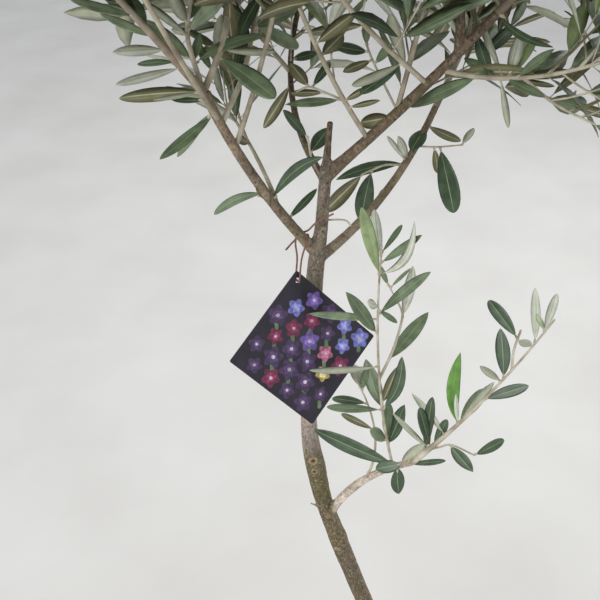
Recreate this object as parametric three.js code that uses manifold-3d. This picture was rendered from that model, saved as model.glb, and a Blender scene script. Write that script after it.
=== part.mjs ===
// A young olive tree on one thin stem, with its card label, in a plain terracotta pot.
// Millimetres, +Z up. The origin is the middle of the pot's flat underside.
import * as THREE from 'three';
import { mergeVertices } from 'three/addons/utils/BufferGeometryUtils.js';
import Module from 'manifold-3d';

const wasm = await Module();
wasm.setup();

// Clear space between pieces that meet
const GAP = 0.3;

// The pot, and the height of the soil in it
const POT = {
  height: 280,
  foot: 112,
  shoulder: 143,
  rim: 160,
  band: 38,
  wall: 12,
  floor: 15,
  round: 4,
  sides: 32,
  drains: 4,
  drainRadius: 6,
  drainRing: 58,
  drainSides: 12,
};
const SOIL_TOP = 255;

// The trunk's stations: a height, how far right and back its middle is there, and its radius.
// It runs from the soil, where it is cut off flat, to where it bends over into the arm.
const TRUNK = {
  sides: 12,
  rings: 28,
  stations: [
    { height: SOIL_TOP - 8, right: 0, back: 0, radius: 27 },
    { height: 270, right: 0.5, back: 1, radius: 15.5 },
    { height: 300, right: 2, back: 4, radius: 13 },
    { height: 400, right: 7, back: 13, radius: 12 },
    { height: 500, right: 3, back: 23, radius: 11.2 },
    { height: 580, right: -13, back: 30, radius: 10.4 },
    { height: 665, right: -40, back: 38, radius: 9.6 },
    { height: 752, right: -68, back: 46, radius: 9.8 },
    { height: 827, right: -90, back: 53, radius: 9 },
    { height: 876, right: -99, back: 57, radius: 10.1 },
    { height: 928, right: -106, back: 62, radius: 8.2 },
    { height: 1029, right: -105, back: 72, radius: 7.6 },
    { height: 1106, right: -101, back: 79, radius: 7.5 },
    { height: 1142, right: -97, back: 82, radius: 5.8 },
    { height: 1197, right: -94, back: 87, radius: 4.9 },
  ],
};

// Boughs. Each leaves its limb at a height on the trunk, or at a share of another limb's length. It starts on
// a heading (degrees from +X towards +Y) and a rise (degrees above level), which change by turn and lift.
const BOUGHS = [
  { name: 'bough_left', on: 'trunk', height: 1118, heading: 204, rise: 52, length: 182, turn: 1, lift: 16,
    root: 4.6, tip: 3.6 },
  { name: 'bough_right', on: 'trunk', height: 1112, heading: 40, rise: 13, length: 182, turn: 9, lift: 39,
    root: 4.4, tip: 3.1 },
  { name: 'bough_arm', on: 'trunk', height: 1188, heading: 349, rise: 46, length: 178, turn: 1, lift: 6,
    root: 4.7, tip: 3.3 },
  { name: 'bough_back', on: 'trunk', height: 1184, heading: 127, rise: 30, length: 178, turn: -60, lift: 17,
    root: 3, tip: 2.5 },
  { name: 'bough_leader', on: 'bough_arm', at: 0.8, heading: 230, rise: 82, length: 190, turn: -110, lift: -8,
    root: 3.2, tip: 2.6 },
  { name: 'bough_low', on: 'trunk', height: 805, heading: 332, rise: 72, length: 159, turn: -6, lift: -30,
    root: 4.8, tip: 3.2 },
  { name: 'dead_stub', on: 'trunk', height: 1196, heading: 70, rise: 76, length: 36, turn: 0, lift: 0,
    root: 3, tip: 2.5 },
  { name: 'spur', on: 'trunk', height: 812, heading: 175, rise: 25, length: 20, turn: 0, lift: 0,
    root: 2.4, tip: 0.9 },
];
const BOUGH = { sides: 8, ringEvery: 22, collar: 0.35, collarShare: 0.08 };

// Masses of foliage. A stem leaves its limb as a bough does. Its shoots start at the share called first,
// reach is about their length, and seed starts the draws that place them.
const MASSES = [
  { name: 'leaves_left', on: 'bough_left', at: 1, heading: 195, rise: 54, length: 240, turn: 6, lift: -6,
    first: 0.2, shoots: 5, reach: 150, seed: 11 },
  { name: 'leaves_left_upper', on: 'bough_left', at: 0.86, heading: 250, rise: 50, length: 290, turn: -50,
    lift: 32, first: 0.25, shoots: 6, reach: 140, seed: 23 },
  { name: 'leaves_left_inner', on: 'bough_left', at: 0.72, heading: 22, rise: 67, length: 220, turn: 40,
    lift: 10, first: 0.3, shoots: 5, reach: 110, seed: 37 },
  { name: 'leaves_left_low', on: 'bough_left', at: 0.33, heading: 151, rise: 70, length: 95, turn: 1,
    lift: -21, first: 0.35, shoots: 1, reach: 50, seed: 41 },
  { name: 'leaves_middle_left', on: 'bough_arm', at: 0.27, heading: 201, rise: 56, length: 300, turn: -10,
    lift: 28, first: 0.38, shoots: 5, reach: 120, seed: 53 },
  { name: 'leaves_middle', on: 'bough_arm', at: 0.44, heading: 20, rise: 77, length: 230, turn: 0, lift: 8,
    first: 0.35, shoots: 4, reach: 110, seed: 67 },
  { name: 'leaves_front', on: 'bough_arm', at: 0.62, heading: 190, rise: 40, length: 320, turn: 100, lift: 16,
    first: 0.4, shoots: 6, reach: 140, seed: 71 },
  { name: 'leaves_arm_shoot', on: 'bough_arm', at: 0.7, heading: 340, rise: -8, length: 150, turn: 10,
    lift: 45, first: 0.3, shoots: 3, reach: 70, seed: 83 },
  { name: 'leaves_arm_tip', on: 'bough_arm', at: 1, heading: 352, rise: 50, length: 270, turn: 0, lift: 6,
    first: 0.15, shoots: 6, reach: 150, seed: 97 },
  { name: 'leaves_top', on: 'bough_leader', at: 1, heading: 130, rise: 80, length: 310, turn: 0, lift: 4,
    first: 0.12, shoots: 8, reach: 170, seed: 101 },
  { name: 'leaves_top_front', on: 'bough_leader', at: 0.55, heading: 290, rise: 42, length: 230, turn: 5,
    lift: 14, first: 0.2, shoots: 5, reach: 150, seed: 113 },
  { name: 'leaves_top_back', on: 'bough_leader', at: 0.66, heading: 82, rise: 40, length: 280, turn: 0,
    lift: 18, first: 0.2, shoots: 5, reach: 150, seed: 127 },
  { name: 'leaves_top_left', on: 'bough_leader', at: 0.78, heading: 165, rise: 44, length: 240, turn: 0,
    lift: 14, first: 0.25, shoots: 5, reach: 150, seed: 131 },
  { name: 'leaves_top_right', on: 'bough_leader', at: 0.9, heading: 350, rise: 46, length: 240, turn: 6,
    lift: 14, first: 0.25, shoots: 5, reach: 150, seed: 151 },
  { name: 'leaves_right', on: 'bough_right', at: 1, heading: 48, rise: 50, length: 270, turn: -6, lift: 16,
    first: 0.15, shoots: 6, reach: 150, seed: 149 },
  { name: 'leaves_back', on: 'bough_back', at: 1, heading: 75, rise: 48, length: 290, turn: 8, lift: 24,
    first: 0.12, shoots: 6, reach: 160, seed: 163 },
  { name: 'leaves_back_left', on: 'bough_back', at: 0.6, heading: 160, rise: 44, length: 270, turn: -10,
    lift: 16, first: 0.25, shoots: 6, reach: 150, seed: 179 },
  { name: 'leaves_low_right', on: 'bough_low', at: 1, heading: 333, rise: 60, length: 219, turn: -4, lift: 11,
    first: 0.1, shoots: 6, reach: 80, seed: 183, low: true },
  { name: 'leaves_low_middle', on: 'bough_low', at: 0.83, heading: 200, rise: 76, length: 255, turn: -7,
    lift: 15, first: 0.1, shoots: 5, reach: 70, seed: 192, low: true },
  { name: 'leaves_low_inner', on: 'bough_low', at: 0.54, heading: 150, rise: 110, length: 132, turn: 3,
    lift: -53, first: 0.3, shoots: 1, reach: 40, seed: 199, low: true },
];
const STEM = { sides: 3, steps: 6, root: 2.1, tip: 1.1 };
const SHOOT = {
  sides: 3,
  steps: 2,
  root: 1.4,
  tip: 0.8,
  spread: 46,
  spreadVary: 28,
  roll: 137.5,
  rollVary: 30,
  turnVary: 40,
  lift: 8,
  liftVary: 26,
  least: 0.8,
  lengthVary: 0.4,
  taper: 0.4,
  shorter: [1, 0.75, 0.5],
};

// Leaves come in opposite pairs, each pair a quarter turn round from the last.
const LEAF = {
  length: 78,
  width: 24,
  thick: 1.6,
  pairEvery: 31,
  apart: 1,
  bare: 0.15,
  angle: 48,
  angleVary: 24,
  vary: 0.3,
  fromEnd: 0.12,
  lastAngle: 0.6,
  spots: 14,
  free: 0.12,
  seedStep: 1000,
};

// The crown's own space is an egg round an upright axis. In front it is lifted, so that the fork shows.
const CROWN = { right: -70, back: 95, radius: 370, top: 1860, widest: 1560, under: 1090, vase: 1.5 };
const FRONT = { back: 10, height: 1365, slope: 0.27 };

// How far foliage stays from limbs, from other masses and from the card
const CLEAR = { limb: 3, mass: 5, share: 0.4, leaf: 2.5, twig: 9, card: 4, samples: 14, closeSamples: 42 };

// The card label hangs by its top corner from a paper-covered wire round the left bough's root.
const CARD = {
  wide: 93,
  tall: 94,
  thick: 0.8,
  round: 1.5,
  hole: 2.4,
  inset: 6,
  corner: { right: -118, back: 55, height: 1117 },
  tilt: 30,
  yaw: 25,
  roll: 51.6,
};

// The wire's two strands: each comes from a free end, goes round the bough and down to the card's hole.
const WIRE = {
  radius: 0.9,
  steps: 14,
  strands: [
    [
      [-88, 67, 1164],
      [-101, 70, 1154.5],
      [-107.5, 74, 1145],
      [-111, 76.5, 1141.5],
      [-117.2, 79, 1137.4],
      [-118.8, 70.5, 1133.5],
      [-117.4, 66, 1122],
      [-118.6, 54.2, 1108.9],
      [-117.1, 50.8, 1109.7],
    ],
    [
      [-127, 70, 1127.5],
      [-121, 77, 1131],
      [-115.8, 79.6, 1134.8],
      [-108.2, 76.4, 1138.6],
      [-109.9, 67.4, 1135.6],
      [-113.7, 60.5, 1124],
      [-115.6, 47.9, 1110.6],
      [-117.1, 50.8, 1109.7],
      [-117.9, 52.5, 1109.3],
    ],
  ],
};

const COLOURS = {
  bark: '#6b6150',
  leaf: '#5e7052',
  terracotta: '#b06a4c',
  soil: '#3f3128',
  card: '#1d1b22',
  wire: '#7a5a55',
};

// How finely curves are drawn, how far joined shapes are simplified, and how close vertices are merged
const CURVES = { curveSegments: 3 };
const SIMPLER = 0.03;
const MERGE = 1e-4;

const TAU = 2 * Math.PI;
const UP = new THREE.Vector3(0, 0, 1);
const degrees = THREE.MathUtils.degToRad;

// Turns a closed three.js geometry into a solid.
function solid(geometry) {
  const bare = geometry.index ? geometry.toNonIndexed() : geometry.clone();
  bare.deleteAttribute('normal');
  bare.deleteAttribute('uv');
  const merged = mergeVertices(bare, MERGE);
  return new wasm.Manifold(new wasm.Mesh({
    numProp: 3,
    vertProperties: new Float32Array(merged.attributes.position.array),
    triVerts: new Uint32Array(merged.index.array),
  }));
}

// Turns a solid back into a three.js geometry. Scraps and sealed hollows that joining leaves are dropped.
function geometryOf(body) {
  const pieces = body.simplify(SIMPLER).decompose();
  pieces.sort((a, b) => b.volume() - a.volume());
  const mesh = pieces[0].getMesh();
  const geometry = new THREE.BufferGeometry();
  geometry.setAttribute('position', new THREE.BufferAttribute(new Float32Array(mesh.vertProperties), 3));
  geometry.setIndex(new THREE.BufferAttribute(new Uint32Array(mesh.triVerts), 1));
  geometry.computeVertexNormals();
  return geometry;
}

// The same draws for the same seed, each from 0 to 1
function seeded(seed) {
  const wrap = 2147483647;
  let state = (seed * 48271 + 11) % wrap;
  return () => {
    state = (state * 16807) % wrap;
    return state / wrap;
  };
}

// Lines of points

function aim(heading, rise) {
  const level = Math.cos(degrees(rise));
  return new THREE.Vector3(
    level * Math.cos(degrees(heading)),
    level * Math.sin(degrees(heading)),
    Math.sin(degrees(rise)),
  );
}

// The middle line of a limb that starts at a point, as evenly spaced points
function sweep(start, limb, steps) {
  const points = [start.clone()];
  for (let i = 0; i < steps; i += 1) {
    const share = (i + 0.5) / steps;
    const way = aim(limb.heading + limb.turn * share, limb.rise + limb.lift * share);
    points.push(points[i].clone().addScaledVector(way, limb.length / steps));
  }
  return points;
}

// The point at a share of a line's length, and the line's way there
function along(points, share) {
  const place = share * (points.length - 1);
  const i = Math.min(Math.floor(place), points.length - 2);
  const way = points[i + 1].clone().sub(points[i]);
  return { point: points[i].clone().addScaledVector(way, place - i), way: way.normalize() };
}

// Evenly spaced spots on a line. The first lies at the share lead of one space.
function spotsOn(points, count, lead) {
  return Array.from({ length: count }, (_, i) => along(points, (i + lead) / count).point);
}

function distanceTo(points, spot) {
  const run = new THREE.Line3();
  const close = new THREE.Vector3();
  let least = Infinity;
  for (let i = 0; i + 1 < points.length; i += 1) {
    run.set(points[i], points[i + 1]).closestPointToPoint(spot, true, close);
    least = Math.min(least, close.distanceTo(spot));
  }
  return least;
}

// A tapering limb is a cylinder bent along a line of points, with a radius at each.
function limbSolid({ points, radii, sides }, extra = 0) {
  const steps = points.length - 1;
  const tube = new THREE.CylinderGeometry(1, 1, 1, sides, steps);
  const rings = [];
  let side = new THREE.Vector3(0.2, 1, 0.1);
  for (let i = 0; i <= steps; i += 1) {
    const way = points[Math.min(i + 1, steps)].clone().sub(points[Math.max(i - 1, 0)]).normalize();
    side = side.clone().addScaledVector(way, -side.dot(way)).normalize();
    const end = { 0: -extra, [steps]: extra }[i] ?? 0;
    rings.push({
      middle: points[i].clone().addScaledVector(way, end),
      side,
      other: new THREE.Vector3().crossVectors(way, side),
      radius: radii[i] + extra,
    });
  }
  const place = tube.attributes.position;
  for (let i = 0; i < place.count; i += 1) {
    const ring = rings[Math.round((place.getY(i) + 0.5) * steps)];
    const spot = ring.middle.clone()
      .addScaledVector(ring.side, place.getZ(i) * ring.radius)
      .addScaledVector(ring.other, place.getX(i) * ring.radius);
    place.setXYZ(i, spot.x, spot.y, spot.z);
  }
  return solid(tube);
}

// Limbs

function trunkLimb() {
  const { stations, rings, sides } = TRUNK;
  const curve = (pick) => new THREE.CatmullRomCurve3(stations.map(pick), false, 'catmullrom', 0.5);
  const middle = curve((s) => new THREE.Vector3(s.right, s.back, s.height));
  const girth = curve((s) => new THREE.Vector3(s.radius, 0, 0));
  const points = [];
  const radii = [];
  for (let i = 0; i <= rings; i += 1) {
    points.push(middle.getPoint(i / rings));
    radii.push(girth.getPoint(i / rings).x);
  }
  return { points, radii, sides };
}

// The share of the trunk's line at which it reaches a height
function shareAt(points, height) {
  const i = points.findIndex((point) => point.z > height) - 1;
  return (i + (height - points[i].z) / (points[i + 1].z - points[i].z)) / (points.length - 1);
}

// A bough tapers evenly, with a collar where it leaves its limb.
function boughLimb(bough, parent) {
  const share = bough.at ?? shareAt(parent.points, bough.height);
  const steps = Math.max(2, Math.round(bough.length / BOUGH.ringEvery));
  const points = sweep(along(parent.points, share).point, bough, steps);
  const radii = points.map((_, i) => {
    const run = i / steps;
    const collar = 1 + BOUGH.collar * Math.exp(-run / BOUGH.collarShare);
    return THREE.MathUtils.lerp(bough.root, bough.tip, run) * collar;
  });
  return { points, radii, sides: BOUGH.sides };
}

function twigLimb(points, size) {
  const steps = points.length - 1;
  const radii = points.map((_, i) => THREE.MathUtils.lerp(size.root, size.tip, i / steps));
  return { points, radii, sides: size.sides };
}

// The card's own frame: x runs down its left edge from the top corner, y down its right edge, z out of
// its face.
function cardFrame() {
  const { corner, tilt, yaw, roll } = CARD;
  const turn = new THREE.Matrix4().makeRotationZ(degrees(yaw))
    .multiply(new THREE.Matrix4().makeRotationX(-degrees(tilt)));
  const rolled = degrees(roll);
  const down = new THREE.Vector3(-Math.sin(rolled), 0, -Math.cos(rolled)).transformDirection(turn);
  const across = new THREE.Vector3(Math.cos(rolled), 0, -Math.sin(rolled)).transformDirection(turn);
  const out = new THREE.Vector3().crossVectors(down, across);
  return new THREE.Matrix4().makeBasis(down, across, out)
    .setPosition(corner.right, corner.back, corner.height);
}

// Foliage

function inCrown(spot) {
  const out = Math.hypot(spot.x - CROWN.right, spot.y - CROWN.back);
  const above = (spot.z - CROWN.widest) / (CROWN.top - CROWN.widest);
  const below = (CROWN.widest - spot.z) / (CROWN.widest - CROWN.under);
  if (above > 1 || below > 1) {
    return false;
  }
  const limit = above > 0 ? Math.sqrt(1 - above ** 2) : 1 - below ** CROWN.vase;
  const lifted = spot.y > FRONT.back || spot.z > FRONT.height + FRONT.slope * (FRONT.back - spot.y);
  return out < CROWN.radius * limit && lifted;
}

function nearCard(spot, intoCard) {
  const at = spot.clone().applyMatrix4(intoCard);
  const { card } = CLEAR;
  return at.x > -card && at.x < CARD.tall + card && at.y > -card && at.y < CARD.wide + card
    && Math.abs(at.z) < card;
}

// Says whether foliage may fill a spot: inside the crown, off the limbs and the card.
function isFree(spot, mass, tree) {
  if (!mass.low && !inCrown(spot)) {
    return false;
  }
  if (nearCard(spot, tree.intoCard)) {
    return false;
  }
  return tree.limbs.every((limb) => distanceTo(limb.points, spot) > Math.max(...limb.radii) + CLEAR.limb);
}

// A shoot's heading, rise and length are drawn by rule from its place on the stem.
function drawShoot(mass, way, share, number, draw) {
  const spread = degrees(SHOOT.spread + (draw() - 0.5) * SHOOT.spreadVary);
  const roll = degrees(mass.seed + number * SHOOT.roll + (draw() - 0.5) * SHOOT.rollVary);
  const side = new THREE.Vector3().crossVectors(way, UP).normalize();
  const other = new THREE.Vector3().crossVectors(way, side);
  const out = side.multiplyScalar(Math.cos(roll)).addScaledVector(other, Math.sin(roll));
  const aimed = way.clone().multiplyScalar(Math.cos(spread)).addScaledVector(out, Math.sin(spread));
  return {
    heading: THREE.MathUtils.radToDeg(Math.atan2(aimed.y, aimed.x)),
    rise: THREE.MathUtils.radToDeg(Math.asin(aimed.z)),
    length: mass.reach * (SHOOT.least + SHOOT.lengthVary * draw()) * (1 - SHOOT.taper * share),
    turn: (draw() - 0.5) * SHOOT.turnVary,
    lift: SHOOT.lift + draw() * SHOOT.liftVary,
  };
}

// Shoots leave the stem in turn round it. One that can't find free space is shortened, then skipped.
function growShoots(mass, tree) {
  const draw = seeded(mass.seed);
  const others = tree.masses.filter((other) => other !== mass);
  for (let k = 0; k < mass.shoots; k += 1) {
    const share = mass.first + (1 - mass.first) * (k + draw()) / mass.shoots;
    const { point, way } = along(mass.stem, share);
    const shoot = drawShoot(mass, way, share, k, draw);
    for (const shorter of SHOOT.shorter) {
      const points = sweep(point, { ...shoot, length: shoot.length * shorter }, SHOOT.steps);
      const spots = spotsOn(points, CLEAR.samples, 1);
      const free = spots.every((spot) => isFree(spot, mass, tree)
        && others.every((other) => other.lines.every((line) => distanceTo(line, spot) > CLEAR.twig)));
      if (free) {
        mass.lines.push(points);
        break;
      }
    }
  }
}

// A leaf's frame: x along it from its root, y across it, z out of its upper side
function leafFrame(root, way, out, angle) {
  const run = way.clone().multiplyScalar(Math.cos(angle)).addScaledVector(out, Math.sin(angle));
  const face = way.clone().addScaledVector(run, -way.dot(run)).normalize();
  const across = new THREE.Vector3().crossVectors(face, run);
  return new THREE.Matrix4().makeBasis(run, across, face).setPosition(root);
}

// A leaf, with the spots that stand for it: along its middle and round its outline, past its root
function makeLeaf(frame, size) {
  const length = LEAF.length * size;
  const width = LEAF.width * size;
  const spots = [];
  for (let i = 0; i < LEAF.spots; i += 1) {
    const share = LEAF.free + (1 - LEAF.free) * i / (LEAF.spots - 1);
    const half = 0.5 * width * (1 - Math.abs(2 * share - 1));
    for (const edge of [-half, 0, half]) {
      spots.push(new THREE.Vector3(share * length, edge, 0).applyMatrix4(frame));
    }
  }
  return { frame, into: frame.clone().invert(), size, length, width, spots };
}

// Says whether a spot lies in or close to a leaf, past its root.
function inLeaf(leaf, spot) {
  const at = spot.clone().applyMatrix4(leaf.into);
  const share = at.x / leaf.length;
  return Math.abs(at.z) < CLEAR.leaf && share > LEAF.free && share < 1 + CLEAR.leaf / leaf.length
    && Math.abs(at.y) < CLEAR.leaf + 0.5 * leaf.width * (1 - Math.abs(2 * share - 1));
}

// Says whether two leaves touch.
function leavesTouch(leaf, near) {
  return near.spots.some((spot) => inLeaf(leaf, spot)) || leaf.spots.some((spot) => inLeaf(near, spot));
}

// A leaf fits where it is in free space, touches no leaf or twig, and each of its spots is nearer to its own
// mass's twigs than to any other's.
function leafFits(leaf, mass, tree) {
  const touches = tree.masses.some((other) => other.leaves.some((near) => leavesTouch(leaf, near)));
  const crossed = tree.masses.some((other) => other.spots.some((twig) => inLeaf(leaf, twig)));
  if (touches || crossed || !leaf.spots.every((spot) => isFree(spot, mass, tree))) {
    return false;
  }
  return leaf.spots.every((spot) => {
    const own = Math.min(...mass.lines.map((each) => distanceTo(each, spot)));
    return tree.masses.every((other) => other === mass
      || other.lines.every((each) => distanceTo(each, spot) > CLEAR.mass + CLEAR.share * own));
  });
}

function growLeaves(mass, tree) {
  const draw = seeded(mass.seed + LEAF.seedStep);
  for (const line of mass.lines) {
    const length = line[0].distanceTo(line.at(-1));
    const bare = line === mass.stem ? mass.first : LEAF.bare;
    const pairs = Math.max(1, Math.round((1 - bare) * length / LEAF.pairEvery));
    for (let k = 1; k <= pairs; k += 1) {
      const { point, way } = along(line, bare + (1 - bare) * (k - LEAF.fromEnd) / pairs);
      const side = new THREE.Vector3().crossVectors(way, UP).normalize();
      const out = k % 2 ? side : new THREE.Vector3().crossVectors(way, side);
      for (const hand of [-1, 1]) {
        const closed = k === pairs ? LEAF.lastAngle : 1;
        const angle = degrees(LEAF.angle + (draw() - 0.5) * LEAF.angleVary) * closed;
        const size = 1 + (draw() - 0.5) * LEAF.vary;
        const root = point.clone().addScaledVector(way, hand * LEAF.apart);
        const leaf = makeLeaf(leafFrame(root, way, out.clone().multiplyScalar(hand), angle), size);
        if (leafFits(leaf, mass, tree)) {
          mass.leaves.push(leaf);
        }
      }
    }
  }
}

// A leaf is a lance shape of six faces, flat above and keeled below.
function leafSolid({ frame, length, width }) {
  const leaf = new THREE.SphereGeometry(0.5, 3, 2);
  leaf.rotateZ(-TAU / 4);
  leaf.computeBoundingBox();
  const { min, max } = leaf.boundingBox;
  leaf.translate(-min.x, 0, 0);
  leaf.scale(length / (max.x - min.x), LEAF.thick / (max.y - min.y), width / (max.z - min.z));
  leaf.rotateX(TAU / 4);
  leaf.applyMatrix4(frame);
  return solid(leaf);
}

function massSolid(mass) {
  const limbs = mass.lines.map((line) => limbSolid(twigLimb(line, line === mass.stem ? STEM : SHOOT)));
  return wasm.Manifold.union([...limbs, ...mass.leaves.map(leafSolid)]);
}

// Pot and soil

// The radius of the pot's inner wall at a height
function innerRadius(height) {
  return THREE.MathUtils.lerp(POT.foot, POT.shoulder, height / (POT.height - POT.band)) - POT.wall;
}

function potSolid() {
  const { height, foot, shoulder, rim, band, floor, round } = POT;
  const profile = [
    [0, 0],
    [foot - round, 0],
    [foot, round],
    [shoulder, height - band],
    [rim - round, height - band],
    [rim, height - band + round],
    [rim, height - round],
    [rim - round, height],
    [innerRadius(height) + round, height],
    [innerRadius(height - round), height - round],
    [innerRadius(floor), floor],
    [0, floor],
  ];
  let pot = solid(new THREE.LatheGeometry(profile.map(([x, y]) => new THREE.Vector2(x, y)), POT.sides)
    .rotateX(Math.PI / 2));
  for (let i = 0; i < POT.drains; i += 1) {
    const drain = new THREE.CylinderGeometry(POT.drainRadius, POT.drainRadius, 2 * floor, POT.drainSides);
    const turn = TAU * (i + 0.5) / POT.drains;
    drain.rotateX(Math.PI / 2);
    drain.translate(POT.drainRing * Math.cos(turn), POT.drainRing * Math.sin(turn), floor / 2);
    pot = pot.subtract(solid(drain));
  }
  return pot;
}

function soilSolid() {
  const bottom = POT.floor + GAP;
  const profile = [
    [0, bottom],
    [innerRadius(bottom) - GAP, bottom],
    [innerRadius(SOIL_TOP) - GAP, SOIL_TOP],
    [0, SOIL_TOP],
  ];
  return solid(new THREE.LatheGeometry(profile.map(([x, y]) => new THREE.Vector2(x, y)), POT.sides)
    .rotateX(Math.PI / 2));
}

// Label

function cardSolid(frame) {
  const { tall, wide, thick, round, hole, inset } = CARD;
  const outline = new THREE.Shape();
  outline.moveTo(round, 0);
  outline.absarc(tall - round, round, round, -TAU / 4, 0, false);
  outline.absarc(tall - round, wide - round, round, 0, TAU / 4, false);
  outline.absarc(round, wide - round, round, TAU / 4, TAU / 2, false);
  outline.absarc(round, round, round, TAU / 2, TAU * 0.75, false);
  outline.holes.push(new THREE.Path().absarc(inset, inset, hole, 0, TAU, true));
  const card = new THREE.ExtrudeGeometry(outline, { depth: thick, bevelEnabled: false, ...CURVES });
  card.translate(0, 0, -thick / 2);
  card.applyMatrix4(frame);
  return solid(card);
}

// A strand is a round section drawn along its route.
function strandSolid(route) {
  const section = new THREE.Shape();
  section.absarc(0, 0, WIRE.radius, 0, TAU, false);
  const path = new THREE.CatmullRomCurve3(route.map(([x, y, z]) => new THREE.Vector3(x, y, z)));
  return solid(new THREE.ExtrudeGeometry(section, { steps: WIRE.steps, extrudePath: path, ...CURVES }));
}

// Assembly

const trunk = trunkLimb();
const limbs = { trunk };
for (const bough of BOUGHS) {
  limbs[bough.name] = boughLimb(bough, limbs[bough.on]);
}

const tree = {
  limbs: Object.values(limbs),
  intoCard: cardFrame().invert(),
  masses: MASSES.map((mass) => {
    const stem = sweep(along(limbs[mass.on].points, mass.at).point, mass, STEM.steps);
    return { ...mass, stem, lines: [stem], leaves: [] };
  }),
};
for (const mass of tree.masses) {
  growShoots(mass, tree);
}
for (const mass of tree.masses) {
  mass.spots = mass.lines.flatMap((line) => spotsOn(line, CLEAR.closeSamples, 0.5));
}
for (const mass of tree.masses) {
  growLeaves(mass, tree);
}

const group = new THREE.Group();

function add(name, body, colour, roughness) {
  const material = new THREE.MeshStandardMaterial({ color: colour, roughness, metalness: 0 });
  const mesh = new THREE.Mesh(geometryOf(body), material);
  mesh.name = name;
  group.add(mesh);
}

add('pot', potSolid(), COLOURS.terracotta, 0.85);
add('soil', soilSolid(), COLOURS.soil, 1);
// each limb is cut clear of those before it, and each mass of all of them
let taken;
for (const [name, limb] of Object.entries(limbs)) {
  const body = limbSolid(limb).trimByPlane([0, 0, 1], SOIL_TOP + GAP);
  add(name, taken ? body.subtract(taken) : body, COLOURS.bark, 0.85);
  const swollen = limbSolid(limb, GAP);
  taken = taken ? taken.add(swollen) : swollen;
}
for (const mass of tree.masses) {
  add(mass.name, massSolid(mass).subtract(taken), COLOURS.leaf, 0.6);
}
add('label', cardSolid(cardFrame()), COLOURS.card, 0.35);
add('wire', wasm.Manifold.union(WIRE.strands.map(strandSolid)).subtract(taken), COLOURS.wire, 0.8);

export default group;
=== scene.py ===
"""A young olive tree on one thin stem, with a card label, in a plain terracotta pot."""
import math
from typing import NamedTuple

import bpy
import numpy as np
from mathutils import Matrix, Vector, noise


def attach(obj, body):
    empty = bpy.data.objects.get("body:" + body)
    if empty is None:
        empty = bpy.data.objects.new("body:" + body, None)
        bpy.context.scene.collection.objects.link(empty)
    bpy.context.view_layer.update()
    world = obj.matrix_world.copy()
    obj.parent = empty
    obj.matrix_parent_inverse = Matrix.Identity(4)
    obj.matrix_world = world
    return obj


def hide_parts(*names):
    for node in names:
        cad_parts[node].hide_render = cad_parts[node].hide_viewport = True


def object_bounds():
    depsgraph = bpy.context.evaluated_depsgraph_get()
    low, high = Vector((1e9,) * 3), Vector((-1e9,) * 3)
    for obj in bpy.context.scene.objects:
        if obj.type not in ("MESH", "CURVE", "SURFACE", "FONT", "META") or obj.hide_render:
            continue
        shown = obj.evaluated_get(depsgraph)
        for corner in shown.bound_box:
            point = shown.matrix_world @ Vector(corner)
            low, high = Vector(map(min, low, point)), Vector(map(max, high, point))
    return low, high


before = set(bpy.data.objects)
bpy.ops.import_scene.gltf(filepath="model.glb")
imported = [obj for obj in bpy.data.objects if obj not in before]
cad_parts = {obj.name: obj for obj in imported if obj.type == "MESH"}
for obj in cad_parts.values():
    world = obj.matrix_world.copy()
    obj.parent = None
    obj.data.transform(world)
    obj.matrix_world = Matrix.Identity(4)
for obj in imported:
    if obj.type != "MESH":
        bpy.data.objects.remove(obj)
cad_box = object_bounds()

# Growth is worked out in millimetres, and meshes are made in metres.
MM = 0.001
UP = np.array([0.0, 0.0, 1.0])

# The camera: where it stands in metres, how far down it looks, its focal length and the photograph's side in
# pixels, its sensor's width in millimetres, and the nearest depth in metres that it shows
CAMERA = dict(place=(-0.115, -0.469, 1.467), pitch=36.0, focal=754.0, side=600, sensor=36.0, nearest=0.02)

# Draws: each state is the last one times "times", wrapped round, and the first comes from a seed
DRAWS = dict(wrap=2147483647, times=16807, seed_times=48271, seed_plus=11)

# The pot: a corner's curve starts up to "round" from it, and never past the side's length over "round_part"
POT = dict(height=280, foot=112, shoulder=143, rim=160, band=38, wall=12, floor=15, sides=128, every=6,
           round=4, round_part=2.2, round_steps=5, drains=4, drain_radius=6, drain_ring=58, drain_sides=32)

# The compost: its height, its gaps to the pot, and how rough its top is, with chips of bark on it
SOIL_TOP = 255
SOIL = dict(wall_gap=0.6, floor_gap=0.4, crown=1, edge=3, skin=2, sides=160, every=3, broad=60, fine=190,
            fine_share=0.6, rough=2.2, sunk=1.2)
CHIPS = dict(count=520, least=2.5, most=7.5, seed=71, within=0.96, above=0.6, above_vary=1.5, tilt=50,
             radii=(0.28, 0.42, 0.22), stout=0.7, stout_vary=0.5, sides=5)

# The trunk's stations: a height, how far right and back its middle is there, and its radius
TRUNK_RINGS = 28
TRUNK = [
    dict(height=SOIL_TOP - 8, right=0, back=0, radius=27),
    dict(height=270, right=0.5, back=1, radius=15.5),
    dict(height=300, right=2, back=4, radius=13),
    dict(height=400, right=7, back=13, radius=12),
    dict(height=500, right=3, back=23, radius=11.2),
    dict(height=580, right=-13, back=30, radius=10.4),
    dict(height=665, right=-40, back=38, radius=9.6),
    dict(height=752, right=-68, back=46, radius=9.8),
    dict(height=827, right=-90, back=53, radius=9),
    dict(height=876, right=-99, back=57, radius=10.1),
    dict(height=928, right=-106, back=62, radius=8.2),
    dict(height=1029, right=-105, back=72, radius=7.6),
    dict(height=1106, right=-101, back=79, radius=7.5),
    dict(height=1142, right=-97, back=82, radius=5.8),
    dict(height=1197, right=-94, back=87, radius=4.9),
]

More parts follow.
